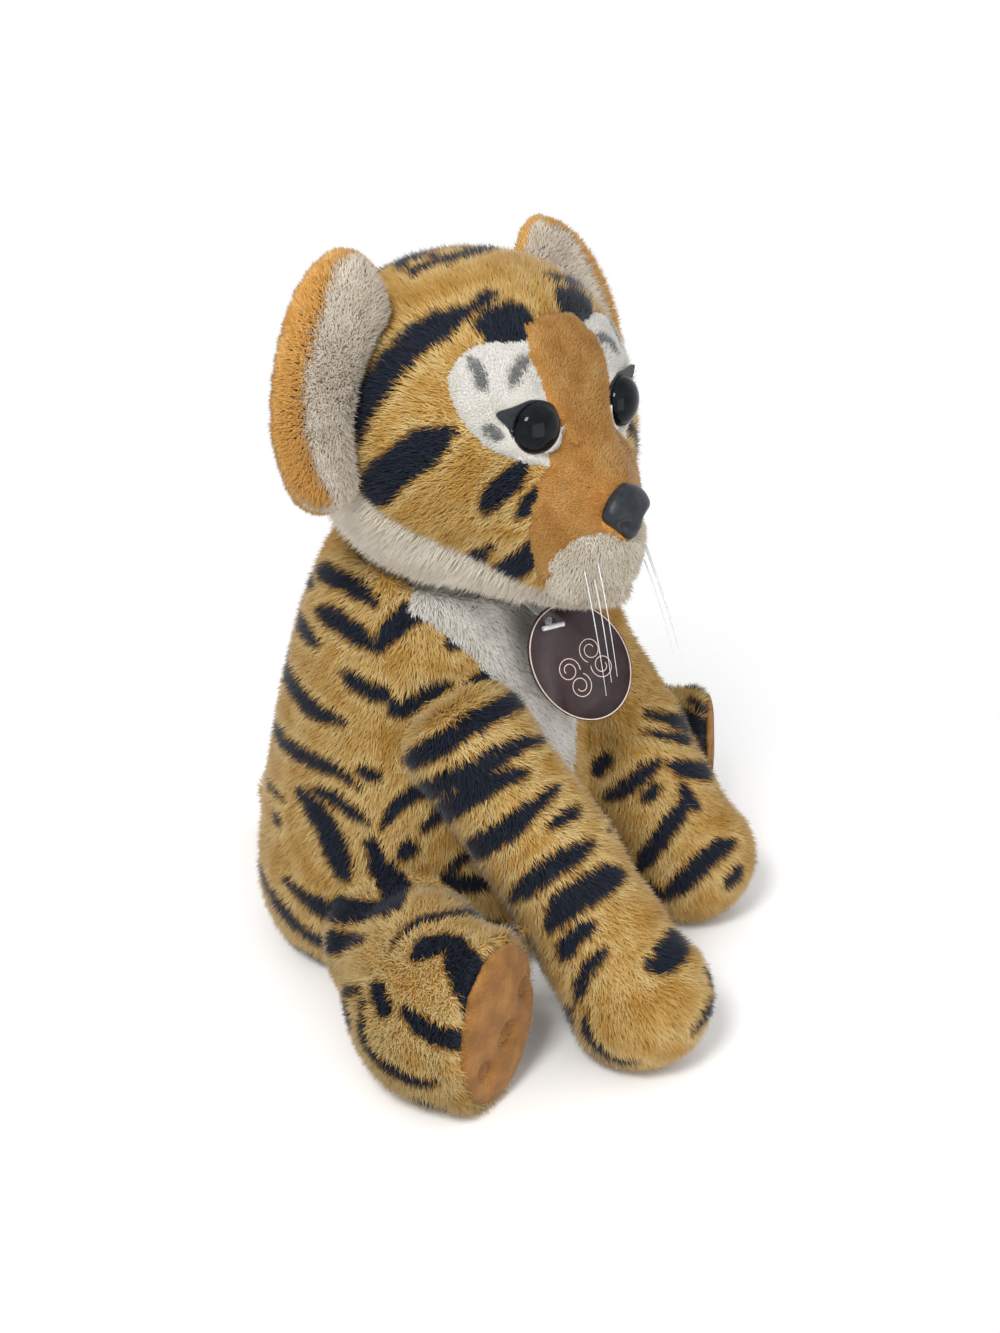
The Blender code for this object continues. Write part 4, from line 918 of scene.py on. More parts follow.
def averaged(mesh, values, rounds):
    """Values on the vertices, blurred over their neighbours."""
    start, end = edge_ends(mesh).T
    count = np.bincount(start, minlength=len(values)) + np.bincount(end, minlength=len(values))
    for _ in range(rounds):
        around = np.bincount(start, values[end], len(values)) + np.bincount(end, values[start], len(values))
        values = (values + around / np.maximum(count, 1)) / 2
    return values


def drawn_in(item, seams, depth, reach, room):
    """Draw the cloth in along its seams, and everywhere by the room that its pile needs."""
    mesh = item.data
    drop = depth * np.exp(-((seams / reach) ** 2)) + averaged(mesh, room, 12)
    set_coordinates(mesh, coordinates(mesh) - vertex_normals(mesh) * drop[:, None], CLOTH_ABOVE_FLOOR)


# Pile

def blade():
    """One fibre lock of unit length: a slim three-sided spike, with its map's axes on it."""
    shape = bmesh.new()
    matrix = Matrix.Translation((0, 0, 0.5))
    bmesh.ops.create_cone(shape, segments=3, radius1=0.5, radius2=0, depth=1, matrix=matrix)
    bmesh.ops.remove_doubles(shape, verts=shape.verts, dist=0.001)
    item = from_bmesh("fibre_lock", shape)
    places = coordinates(item.data)
    write_attribute(item.data, "along", places[:, 2])
    write_attribute(item.data, "across", places[:, 0] + 0.5)
    item.hide_render = True
    item.hide_viewport = True
    return item


def pile_tree(lock, density, width, ragged, jitter, seed):
    """Geometry nodes that plant fibre locks on a cloth and keep each lock's tone for its map."""
    tree = bpy.data.node_groups.new("pile", "GeometryNodeTree")
    tree.interface.new_socket("Geometry", in_out="INPUT", socket_type="NodeSocketGeometry")
    tree.interface.new_socket("Geometry", in_out="OUTPUT", socket_type="NodeSocketGeometry")

    def node(kind, links=None, **settings):
        return add_node(tree, kind, links, **settings)

    def math_node(operation, first, second):
        return maths(tree, operation, first, second)

    def named(name, kind="FLOAT"):
        return node("GeometryNodeInputNamedAttribute", {"Name": name}, data_type=kind).outputs[0]

    def chance(low, high, number):
        made = node("FunctionNodeRandomValue", {"Seed": seed * 10 + number}, data_type="FLOAT")
        made.inputs[2].default_value, made.inputs[3].default_value = low, high
        return made.outputs[1]

    def scattered(amount, number):
        made = node("FunctionNodeRandomValue", {"Seed": seed * 10 + number}, data_type="FLOAT_VECTOR")
        made.inputs[0].default_value, made.inputs[1].default_value = (-amount,) * 3, (amount,) * 3
        return made.outputs[0]

    def sway(size, amount):
        noise = node("ShaderNodeTexNoise", {"Scale": 1 / size, "Detail": 1.0})
        middle = node("ShaderNodeVectorMath", {
            0: noise.outputs["Color"], 1: (0.5, 0.5, 0.5),
        }, operation="SUBTRACT").outputs[0]
        return node("ShaderNodeVectorMath", {0: middle, "Scale": amount}, operation="SCALE").outputs[0]

    def total(*vectors):
        made = vectors[0]
        for vector in vectors[1:]:
            made = node("ShaderNodeVectorMath", {0: made, 1: vector}, operation="ADD").outputs[0]
        return made

    start = tree.nodes.new("NodeGroupInput")
    cover = math_node("MULTIPLY", named("cover"), density)
    spread = node("GeometryNodeDistributePointsOnFaces", {"Mesh": start.outputs[0], "Seed": seed})
    tree.links.new(cover, spread.inputs["Density"])
    kept = node("GeometryNodeStoreNamedAttribute", {
        "Geometry": spread.outputs["Points"], "Name": "skin_up", "Value": spread.outputs["Normal"],
    }, data_type="FLOAT_VECTOR", domain="POINT")
    wander = node("ShaderNodeTexNoise", {"Scale": 1 / (1.6 * MM), "Detail": 1.0}).outputs["Fac"]
    strayed = math_node("MULTIPLY", math_node("SUBTRACT", wander, 0.5), ragged * 3)
    edge = math_node("ADD", named("stripe"), strayed)
    edge = math_node("ADD", edge, chance(-ragged, ragged, 1))
    dark = node("ShaderNodeMapRange", {
        "Value": edge, "From Min": -0.7, "From Max": 1.0, "To Min": 1.0, "To Max": 0.0,
    }).outputs["Result"]
    patches = node("ShaderNodeTexNoise", {"Scale": 1 / (8 * MM), "Detail": 2.0}).outputs["Fac"]
    coat = math_node("MULTIPLY", chance(0.0, 1.0, 2), 0.34)
    coat = math_node("ADD", coat, math_node("MULTIPLY", math_node("SUBTRACT", patches, 0.5), 1.1))
    coat = math_node("MINIMUM", math_node("MAXIMUM", math_node("ADD", coat, named("tone")), 0.0), 1.0)
    coat = math_node("ADD", math_node("MULTIPLY", coat, 0.58), 0.41)
    stripe = math_node("MULTIPLY", chance(0.02, 1.0, 3), 0.32)
    light = math_node("MULTIPLY", coat, math_node("SUBTRACT", 1.0, dark))
    shade = math_node("ADD", light, math_node("MULTIPLY", stripe, dark))
    toned = node("GeometryNodeStoreNamedAttribute", {
        "Geometry": kept.outputs[0], "Name": "shade", "Value": shade,
    }, data_type="FLOAT", domain="POINT")
    grow = total(named("grow", "FLOAT_VECTOR"), scattered(jitter, 4), sway(3.2 * MM, jitter * 2.2))
    lay = total(named("lay", "FLOAT_VECTOR"), scattered(1.5, 5))
    upright = node("FunctionNodeAlignRotationToVector", {"Vector": grow}, axis="Z")
    turned = node("FunctionNodeAlignRotationToVector", {
        "Rotation": upright.outputs[0], "Vector": lay,
    }, axis="Y", pivot_axis="Z")
    length = math_node("MULTIPLY", named("pile"), chance(0.72, 1.15, 6))
    thick = math_node("MULTIPLY", chance(0.7, 1.25, 7), width)
    size = node("ShaderNodeCombineXYZ", {"X": thick, "Y": thick, "Z": length})
    info = node("GeometryNodeObjectInfo", {"Object": lock})
    planted = node("GeometryNodeInstanceOnPoints", {
        "Points": toned.outputs[0], "Instance": info.outputs["Geometry"],
        "Rotation": turned.outputs[0], "Scale": size.outputs[0],
    })
    real = node("GeometryNodeRealizeInstances", {"Geometry": planted.outputs[0]})
    sideways = math_node("MULTIPLY", math_node("SUBTRACT", named("across"), 0.5), 0.012)
    toward = math_node("ADD", named("shade"), sideways)
    chart = node("ShaderNodeCombineXYZ", {"X": named("along"), "Y": toward})
    mapped = node("GeometryNodeStoreNamedAttribute", {
        "Geometry": real.outputs[0], "Name": "OFBake", "Value": chart.outputs[0],
    }, data_type="FLOAT2", domain="CORNER")
    finish = tree.nodes.new("NodeGroupOutput")
    tree.links.new(mapped.outputs[0], finish.inputs[0])
    return tree


def grown(cloth, lock, name, density, width, ragged, jitter, seed, finish):
    """The pile of one cloth panel, in as many pieces as keep each one light."""
    area = sum(face.area for face in cloth.data.polygons) / MM**2
    count = max(math.ceil(area * density / LOCKS_IN_A_PIECE), 1)
    pieces = []
    for part in range(count):
        piece_name = f"{name}_{part + 1}" if count > 1 else name
        piece = place(piece_name, cloth.data.copy(), None)
        piece.data.materials.clear()
        planted = piece.modifiers.new("pile", "NODES")
        share = density / count / MM**2
        planted.node_group = pile_tree(lock, share, width * MM, ragged, jitter, seed + 100 * part)
        frozen(piece)
        mesh = piece.data
        skin_up = read_attribute(mesh, "skin_up", 3)
        mesh.shade_smooth()
        normals = unit(skin_up * NORMAL_SHARE + vertex_normals(mesh) * (1 - NORMAL_SHARE))
        set_coordinates(mesh, coordinates(mesh), PILE_ABOVE_FLOOR)
        for attribute in PILE_NOTES:
            if attribute in mesh.attributes:
                mesh.attributes.remove(mesh.attributes[attribute])
        mesh.normals_split_custom_set_from_vertices(normals.tolist())
        mesh.materials.clear()
        mesh.materials.append(finish)
        pieces.append(piece)
    return pieces


def combed(cloth, node, flow, samples, cover):
    """Keep on a cloth how its pile grows: direction, lay, length, tone and the stripes' edge."""
    _, _, length, tilt, _, _, _, tone, _ = WEAR[node]
    mesh = cloth.data
    seams = read_attribute(mesh, "seam")
    places, normals = coordinates(mesh), vertex_normals(mesh)
    along = flow(places)
    along -= normals * np.sum(along * normals, axis=1, keepdims=True)
    along = unit(along)
    lean = math.radians(tilt)
    write_attribute(mesh, "grow", normals * math.cos(lean) + along * math.sin(lean), "FLOAT_VECTOR")
    write_attribute(mesh, "lay", along, "FLOAT_VECTOR")
    near_seam = SEAM_PILE_SHARE + (1 - SEAM_PILE_SHARE) * smooth_step(seams, 0, SEAM_PILE_REACH)
    write_attribute(mesh, "pile", length * MM * near_seam)
    stripe = stripe_distance(places, samples) if samples else np.full(len(places), 50.0)
    write_attribute(mesh, "stripe", stripe)
    pale_edge = np.exp(-((stripe - 1.2) / 1.6) ** 2) * (stripe > 0)
    write_attribute(mesh, "tone", np.clip(tone + 0.35 * pale_edge, 0, 1))
    write_attribute(mesh, "cover", cover)


def covered_by(places, trees, gap):
    """1 where the cloth is open to the air, 0 where one of some shapes lies against it."""
    open_air = np.ones(len(places))
    for tree in trees:
        for index, spot in enumerate(places):
            if tree.find_nearest(spot, gap)[0] is not None:
                open_air[index] = 0
    return open_air


def stream(direction):
    """Pile that runs one way all over a piece."""
    way = np.array(direction, float)
    return lambda places: np.tile(way, (len(places), 1))


def away_from(point, fall):
    """Pile that runs away from a point, falling a little."""
    origin = np.array(point, float)
    return lambda places: unit(places - origin) + np.array((0, 0, -fall))


def round_tail(places):
    turn = np.arctan2(places[:, 1], places[:, 0])
    return np.stack((np.sin(turn), -np.cos(turn), np.zeros(len(places))), axis=1)


# What each panel wears: finish, backing, pile length in mm, tilt from upright, locks per mm2,
# lock width in mm, jitter, tone, and how far the cloth lies inside the CAD's face to leave the pile room
GOLD = ("golden", "golden_backing", 4.2, 42, 3.9, 0.44, 0.34)
WEAR = {
    "back_skin": (*GOLD, 0.42, 2.3), "flank_skin_R": (*GOLD, 0.42, 2.3), "flank_skin_L": (*GOLD, 0.42, 2.3),
    "seat_panel": ("golden", "golden_backing", 2.0, 60, 1.6, 0.50, 0.3, 0.3, 0.4),
    "chest_panel": ("chest", "cream_backing", 3.4, 45, 4.4, 0.42, 0.35, 0.5, 1.6),
    "foreleg_R_skin": (*GOLD, 0.45, 2.3), "foreleg_L_skin": (*GOLD, 0.40, 2.3),
    "leg_R_skin": ("golden", "golden_backing", 3.8, 30, 3.9, 0.44, 0.36, 0.58, 2.3),
    "leg_L_skin": ("golden", "golden_backing", 3.8, 30, 3.9, 0.44, 0.36, 0.42, 2.3),
    "tail_skin": (*GOLD, 0.45, 1.8),
    "head_skin": (*GOLD, 0.42, 2.3),
    "bridge_panel": ("gold_short", "gold_short_backing", 1.7, 45, 7.0, 0.36, 0.35, 0.45, 0.8),
    "chin_panel": ("cream", "cream_backing", 3.0, 45, 6.0, 0.40, 0.4, 0.45, 1.4),
}
PAIRS = {
    "eye_patch": ("white", "white_backing", 1.7, 42, 7.0, 0.36, 0.35, 0.6, 0.8),
    "ruff": ("ruff", "cream_backing", 7.0, 54, 4.4, 0.46, 0.28, 0.55, 2.6),
    "muzzle_pad": ("cream", "cream_backing", 2.2, 42, 7.0, 0.38, 0.4, 0.5, 0.8),
    "ear_back": ("ear_gold", "gold_short_backing", 1.8, 44, 9.0, 0.38, 0.3, 0.5, 0.0),
    "ear_lining": ("lining", "grey_backing", 3.0, 42, 6.6, 0.42, 0.5, 0.55, 0.0),
}
WEAR.update({f"{name}_{letter}": worn for name, worn in PAIRS.items() for letter in "RL"})
BODY_OF = {name: body for body, names in frame["record"]["behaviour"]["bodies"].items() for name in names}
LIMB_REACH = {  # from its joint, where a limb's cloth starts to follow it, and where it follows fully
    "foreleg_R": (Vector((-37, -33, 90)), Vector((-42, -93, 24))),
    "foreleg_L": (Vector((37, -33, 90)), Vector((38, -78, 24))),
    "leg_R": (Vector((-52, -16, 25)), Vector((-83, -61, 28))),
    "leg_L": (Vector((52, -16, 25)), Vector((83, -63, 28))),
    "tail": (Vector((12, 47, 13.5)), Vector((38, 68, 10.5))),
}
TORSO_PANELS = ("back_skin", "flank_skin_R", "flank_skin_L", "chest_panel", "seat_panel")
LIMB_PANELS = ("foreleg_R_skin", "foreleg_L_skin", "leg_R_skin", "leg_L_skin", "tail_skin")
FACE_PANELS = (
    "head_skin", "bridge_panel", "eye_patch_R", "eye_patch_L", "ruff_R", "ruff_L", "muzzle_pad_R",
    "muzzle_pad_L", "chin_panel",
)


def middle_of(name):
    low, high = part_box(name)
    return (low + high) / 2


def carried(piece, node, replacing=False):
    """Let a piece move with its body, bending out of the torso where a limb is sewn to it."""
    body = BODY_OF[node]
    if body in LIMB_REACH:
        start, end = LIMB_REACH[body]
        begin, full = [start.lerp(end, share) * MM for share in BEND_SHARES]
        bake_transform(piece, "torso", body, start=begin, end=full)
    else:
        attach(piece, body)
    if replacing:
        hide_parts(node)


def stands_for(item, node):
    """Let a piece ride on its body in the place of a CAD node."""
    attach(item, BODY_OF[node])
    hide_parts(node)


def dress(cloth, node, lock, finishes, seed):
    """Thicken a cloth panel, plant its pile and let both ride."""
    pile_name, _, _, _, density, width, jitter, _, _ = WEAR[node]
    ragged = RAGGED.get(pile_name, 0.0)
    piles = grown(cloth, lock, node + "_pile", density, width, ragged, jitter, seed, finishes[pile_name])
    for attribute in ("grow", "lay", "pile", "cover", "tone", "panel"):
        if attribute in cloth.data.attributes:
            cloth.data.attributes.remove(cloth.data.attributes[attribute])
    wall = cloth.modifiers.new("cloth_thickness", "SOLIDIFY")
    wall.thickness = CLOTH_THICK
    wall.offset = -1
    carried(cloth, node, True)
    for pile in piles:
        carried(pile, node)


def body_flow(node):
    if node == "tail_skin":
        return round_tail
    body = BODY_OF[node]
    if body in LIMB_REACH:
        start, end = LIMB_REACH[body]
        return stream((end - start).normalized())
    return stream((0, 0.1, -1))


def make_body(finishes, lock, suede_trees):
    """Torso, limbs and tail from one skin, so that no gap shows where they are sewn together."""
    panels = TORSO_PANELS + LIMB_PANELS
    cores = [name for name in nodes if name.endswith("_stuffing") and BODY_OF[name] not in ("head", "neck")]
    skin = remeshed("body_cloth", list(panels) + cores, BODY_VOXEL, 4)
    puffed(skin)
    subdivided(skin)
    places = coordinates(skin.data)
    panel = nearest_panels(places, panels)
    seams = seam_distance(skin.data, panel)
    drawn_in(skin, seams, SEAM_DEPTH, SEAM_REACH, body_room(places, panel, panels))
    write_attribute(skin.data, "seam", seams)
    on_leg = averaged(skin.data, (panel == panels.index("leg_R_skin")).astype(float), 12)
    set_coordinates(skin.data, foot_turned(coordinates(skin.data), on_leg))
    tree = mesh_tree(skin.data)
    samples = body_strokes(tree)
    head_trees = [node_tree(name) for name in ("head_skin", "ruff_R", "ruff_L")]
    cloths = parted(skin, panel, panels, {name: finishes[WEAR[name][1]] for name in panels})
    for seed, (node, cloth) in enumerate(cloths.items()):
        open_air = covered_by(coordinates(cloth.data), suede_trees + head_trees, CLOTH_GAP)
        marked = samples if WEAR[node][0] == "golden" else None
        combed(cloth, node, body_flow(node), marked, open_air)
        dress(cloth, node, lock, finishes, seed + 1)


def body_room(places, panel, names):
    """How far the cloth lies in for its pile: nowhere at the soles and paws, and less at the seat."""
    room = room_for_pile(panel, names)
    for letter in "RL":
        sole = node_tree(f"sole_{letter}")
        gaps = np.array([sole.find_nearest(spot)[3] for spot in places])
        room *= smooth_step(gaps, 0, SOLE_REACH)
    for middle in PAW_MIDDLES:
        room *= smooth_step(np.linalg.norm(places - np.array(middle), axis=1), *PAW_REACHES)
    behind = smooth_step(places[:, 1], *SEAT_BEHIND) * (1 - smooth_step(places[:, 2], *SEAT_HEIGHTS))
    torso = np.isin(panel, [names.index(name) for name in TORSO_PANELS if name != "seat_panel"])
    heel = np.exp(-((np.linalg.norm(places - np.array(HEEL_MIDDLE), axis=1) / HEEL_REACH) ** 2))
    return room - behind * torso * SEAT_FULLNESS - heel * HEEL_FULLNESS


def foot_turned(places, on_leg):
    """Turn the near hind foot about an upright axis through its sole, less and less up the leg."""
    start, end = LIMB_REACH["leg_R"]
    reach = (places / MM - np.array(start)) @ np.array((end - start).normalized()) / (end - start).length
    angle = FOOT_TURN * smooth_step(reach, *FOOT_SHARES) * on_leg
    away = places - np.array(FOOT_PIVOT)
    turned = places.copy()
    turned[:, 0] = FOOT_PIVOT.x + away[:, 0] * np.cos(angle) - away[:, 1] * np.sin(angle)
    turned[:, 1] = FOOT_PIVOT.y + away[:, 0] * np.sin(angle) + away[:, 1] * np.cos(angle)
    return turned


def face_fade(places):
    """The pile is clipped short round the eyes and the nose."""
    fade = np.ones(len(places))
    for node, least in CLIPPED_SHARES:
        gap = np.linalg.norm(places - np.array(middle_of(node)), axis=1) / MM
        fade *= least + (1 - least) * smooth_step(gap, *CLIPPED_REACH)
    return fade


def room_for_pile(panel, names):
    return np.array([WEAR[name][8] for name in names])[panel] * MM


def in_head_axes(places):
    return (places - np.array(HEAD_CENTRE)) @ np.array(head_axes())


def muzzle_in_cream(places, panel):
    """Carry the cream cloth of the pads and chin down to the ruff, where the short gold ends."""
    spots = in_head_axes(places) / MM
    low = (spots[:, 1] < CREAM_FRONT) & (spots[:, 2] < CREAM_TOP)
    gold = np.isin(panel, [FACE_PANELS.index(name) for name in ("bridge_panel", "head_skin")])
    side = np.where(spots[:, 0] < 0, FACE_PANELS.index("muzzle_pad_R"), FACE_PANELS.index("muzzle_pad_L"))
    panel = np.where(low & gold & (np.abs(spots[:, 0]) < CREAM_HALF_WIDTH), side, panel)
    middle = gold & (np.abs(spots[:, 0]) < CHIN_HALF_WIDTH) & (spots[:, 2] < CHIN_TOP) & (spots[:, 1] < 0)
    panel = np.where(middle, side, panel)
    ruff = np.isin(panel, [FACE_PANELS.index("ruff_R"), FACE_PANELS.index("ruff_L")])
    return np.where(ruff & (spots[:, 1] > NAPE_BACK), FACE_PANELS.index("head_skin"), panel)


def behind_front(node, side, depth):
    """The point of a fitting's axis that lies a depth behind its foremost corner."""
    yaw = math.radians(EYE_YAW) * side
    ahead = head_axes() @ Vector((math.sin(yaw), -math.cos(yaw), 0))
    front = max(Vector(vert.co).dot(ahead) for vert in nodes[node].data.vertices)
    middle = middle_of(node)
    return middle + ahead * (front - middle.dot(ahead) - depth)


def seat_plugs():
    """Balls in the hollows behind the eyes and the nose."""
    plugs = []
    for node, side in (("eye_R", -1), ("eye_L", 1), ("nose", 0)):
        stand = EYE_DOME if side else NOSE_STAND
        plugs.append((behind_front(node, side, stand + PLUG_RADIUS + PLUG_DEPTH), PLUG_RADIUS))
    return plugs


def swell(places):
    """How far the cloth stands out again round the stems of the nose and the eyes."""
    total = np.zeros(len(places))
    for node, side, height in SWELLS:
        middle = behind_front(node, side, NOSE_STAND)
        gap = np.linalg.norm(places - np.array(middle), axis=1) / MM
        total += height * MM * np.exp(-((gap / SWELL_SPREAD) ** 2))
    return total


def make_head(finishes, lock):
    skin = remeshed("head_cloth", list(FACE_PANELS) + ["head_stuffing"], HEAD_VOXEL, 3, seat_plugs())
    puffed(skin)
    subdivided(skin)
    panel = muzzle_in_cream(coordinates(skin.data), nearest_panels(coordinates(skin.data), FACE_PANELS))
    seams = seam_distance(skin.data, panel)
    room = room_for_pile(panel, FACE_PANELS) - swell(coordinates(skin.data))
    drawn_in(skin, seams, SEAM_DEPTH * HEAD_SEAM_DEPTH_SHARE, SEAM_REACH * HEAD_SEAM_REACH_SHARE, room)
    write_attribute(skin.data, "seam", seams)
    tree = mesh_tree(skin.data)
    stripes, marks = head_strokes(tree), patch_strokes(tree)
    cloths = parted(skin, panel, FACE_PANELS, {name: finishes[WEAR[name][1]] for name in FACE_PANELS})
    nose = middle_of("nose")
    fittings = [node_tree(name) for name in ("eye_R", "eye_L", "nose")]
    for seed, (node, cloth) in enumerate(cloths.items()):
        places = coordinates(cloth.data)
        flow = away_from(nose, 0.9 if node.startswith("ruff") else 0.25)
        marked = {"golden": stripes, "white": marks}.get(WEAR[node][0])
        open_air = covered_by(places, fittings, FITTING_GAP)
        combed(cloth, node, flow, marked, open_air)
        if node != "ruff_R" and node != "ruff_L":
            write_attribute(cloth.data, "pile", read_attribute(cloth.data, "pile") * face_fade(places))
        dress(cloth, node, lock, finishes, seed + 31)


def make_ears(finishes, lock):
    """Each ear from one plump shape, parted into its back and its lining."""
    turn = head_axes().to_4x4()
    for number, letter in enumerate("RL"):
        base = HEAD_CENTRE + (middle_of(f"ear_back_{letter}") - HEAD_CENTRE) * EAR_ROOT_SHARE
        pivot = Matrix.Translation(middle_of(f"ear_back_{letter}") + Vector((0, 0, EAR_PIVOT_UP)))
        leaned = Matrix.Rotation(-EAR_LEANS[letter], 4, "X") @ Matrix.Scale(EAR_HEIGHT_SHARE, 4, (0, 0, 1))
        shift = Matrix.Translation(EAR_SHIFTS[letter])
        lean = shift @ pivot @ turn @ leaned @ turn.inverted() @ pivot.inverted()
        names = (f"ear_back_{letter}", f"ear_lining_{letter}")
        skin = remeshed(f"ear_{letter}_cloth", names, EAR_VOXEL, 6)
        panel = nearest_panels(coordinates(skin.data), names)
        seams = seam_distance(skin.data, panel)
        plump = EAR_PLUMPNESS * smooth_step(seams, 0, EAR_PLUMP_REACH)
        drawn_in(skin, seams, EAR_SEAM_DEPTH, SEAM_REACH, -plump)
        write_attribute(skin.data, "seam", seams)
        skin.data.transform(lean)
        cloths = parted(skin, panel, names, {name: finishes[WEAR[name][1]] for name in names})
        if letter == "R":
            right_ear = mesh_tree(cloths["ear_lining_R"].data)
        for offset, (node, cloth) in enumerate(cloths.items()):
            open_air = covered_by(coordinates(cloth.data), (node_tree("head_skin"),), CLOTH_GAP)
            rims = ear_rim(cloth, right_ear, letter) if offset else None
            combed(cloth, node, away_from(base, 0.1), rims, open_air)
            dress(cloth, node, lock, finishes, 51 + number * 2 + offset)


def make_soles(finishes):
    """Suede soles, tucked under the pile at the rim and dimpled for the toes."""
    across = Vector((1, 0, 0))
    right_sole = node_tree("sole_R")
    toes = [cast(right_sole, EYE_POINT, pixel_ray(pixel)) for pixel in TOE_PIXELS]
    suede_trees = []
    for letter in "RL":
        node = f"sole_{letter}"
        sole = remeshed(node + "_suede", [node], SOLE_VOXEL, 3)
        subdivided(sole)
        mesh = sole.data
        places, normals = coordinates(mesh), vertex_normals(mesh)
        middle = places.mean(axis=0)
        places = middle + (places - middle) * SOLE_SHARE
        pad = node_tree(node)
        dent_shade = np.zeros(len(places))
        for toe in toes:
            spot = toe if letter == "R" else pad.find_nearest(mirrored(toe, Vector(), across))[0]
            gap = np.linalg.norm(places - np.array(spot), axis=1) / TOE_DENT_RADIUS
            places -= normals * (TOE_DENT_DEPTH * np.exp(-gap**2))[:, None]
            # painted shade for each toe dent, kept for the suede's colour
            dent_shade = np.maximum(dent_shade, 0.8 * np.exp(-((gap * 1.4) ** 2)))
        write_attribute(mesh, "dent_shade", dent_shade)
        set_coordinates(mesh, foot_turned(places, 1.0) if letter == "R" else places)
        suede_trees.append(mesh_tree(mesh))
        mesh.materials.clear()
        mesh.materials.append(finishes["suede"])
        stands_for(sole, node)
    return suede_trees


def make_fills(finishes):
    """The fibre fill inside each skin, drawn in so that it stays behind the cloth."""
    for node in [name for name in nodes if name.endswith("_stuffing") and name != "neck_stuffing"]:
        shape = joined([node])
        shape.normal_update()
        thin = node.startswith(("tail", "head"))
        moves = [(vert, vert.normal * (THIN_FILL_ROOM if thin else FILL_ROOM)) for vert in shape.verts]
        for vert, move in moves:
            vert.co -= move
        fill = from_bmesh(node + "_fibre", shape, finishes["fill"])
        carried(fill, node, True)


def make_nose(finishes):
    """A moulded nose: broad and flat above, a narrow point below, a nostril in each flank."""
    turn = head_axes()
    ahead = turn @ Vector((0, -1, 0))
    places = coordinates(nodes["nose"].data)
    front = max(Vector(place).dot(ahead) for place in places)
    face = [Vector(place) for place in places if Vector(place).dot(ahead) > front - NOSE_STAND * 1.05]
    middle = sum(face, Vector()) / len(face)
    middle += ahead * (front - NOSE_STAND - middle.dot(ahead))
    shape = bmesh.new()
    bmesh.ops.create_uvsphere(shape, u_segments=56, v_segments=40, radius=1)
    for vert in shape.verts:
        x, y, z = vert.co
        narrow = 0.42 + 0.58 * float(smooth_step(y, -0.95, 0.35))
        brow = 1 - 0.10 * abs(x)
        lift = 0.10 * (1 - abs(x)) if y > 0.5 else 0.0
        out = (max(z, 0) ** 0.85) * (1 - 0.22 * float(smooth_step(y, 0.1, 0.9))) + min(z, 0) * 0.5
        for side in (-1, 1):
            gap = ((x - side * 0.55) ** 2 + (y + 0.18) ** 2) / 0.05
            out -= 0.34 * math.exp(-gap) * (z > 0)
        vert.co = (x * NOSE_HALF_WIDTH * narrow, (y * brow + lift) * NOSE_HALF_HEIGHT, out * NOSE_STAND)
    matrix = Matrix.Translation(middle) @ ahead.to_track_quat("Z", "Y").to_matrix().to_4x4()
    bmesh.ops.transform(shape, matrix=matrix, verts=shape.verts)
    stands_for(from_bmesh("nose_moulding", shape, finishes["nose"]), "nose")


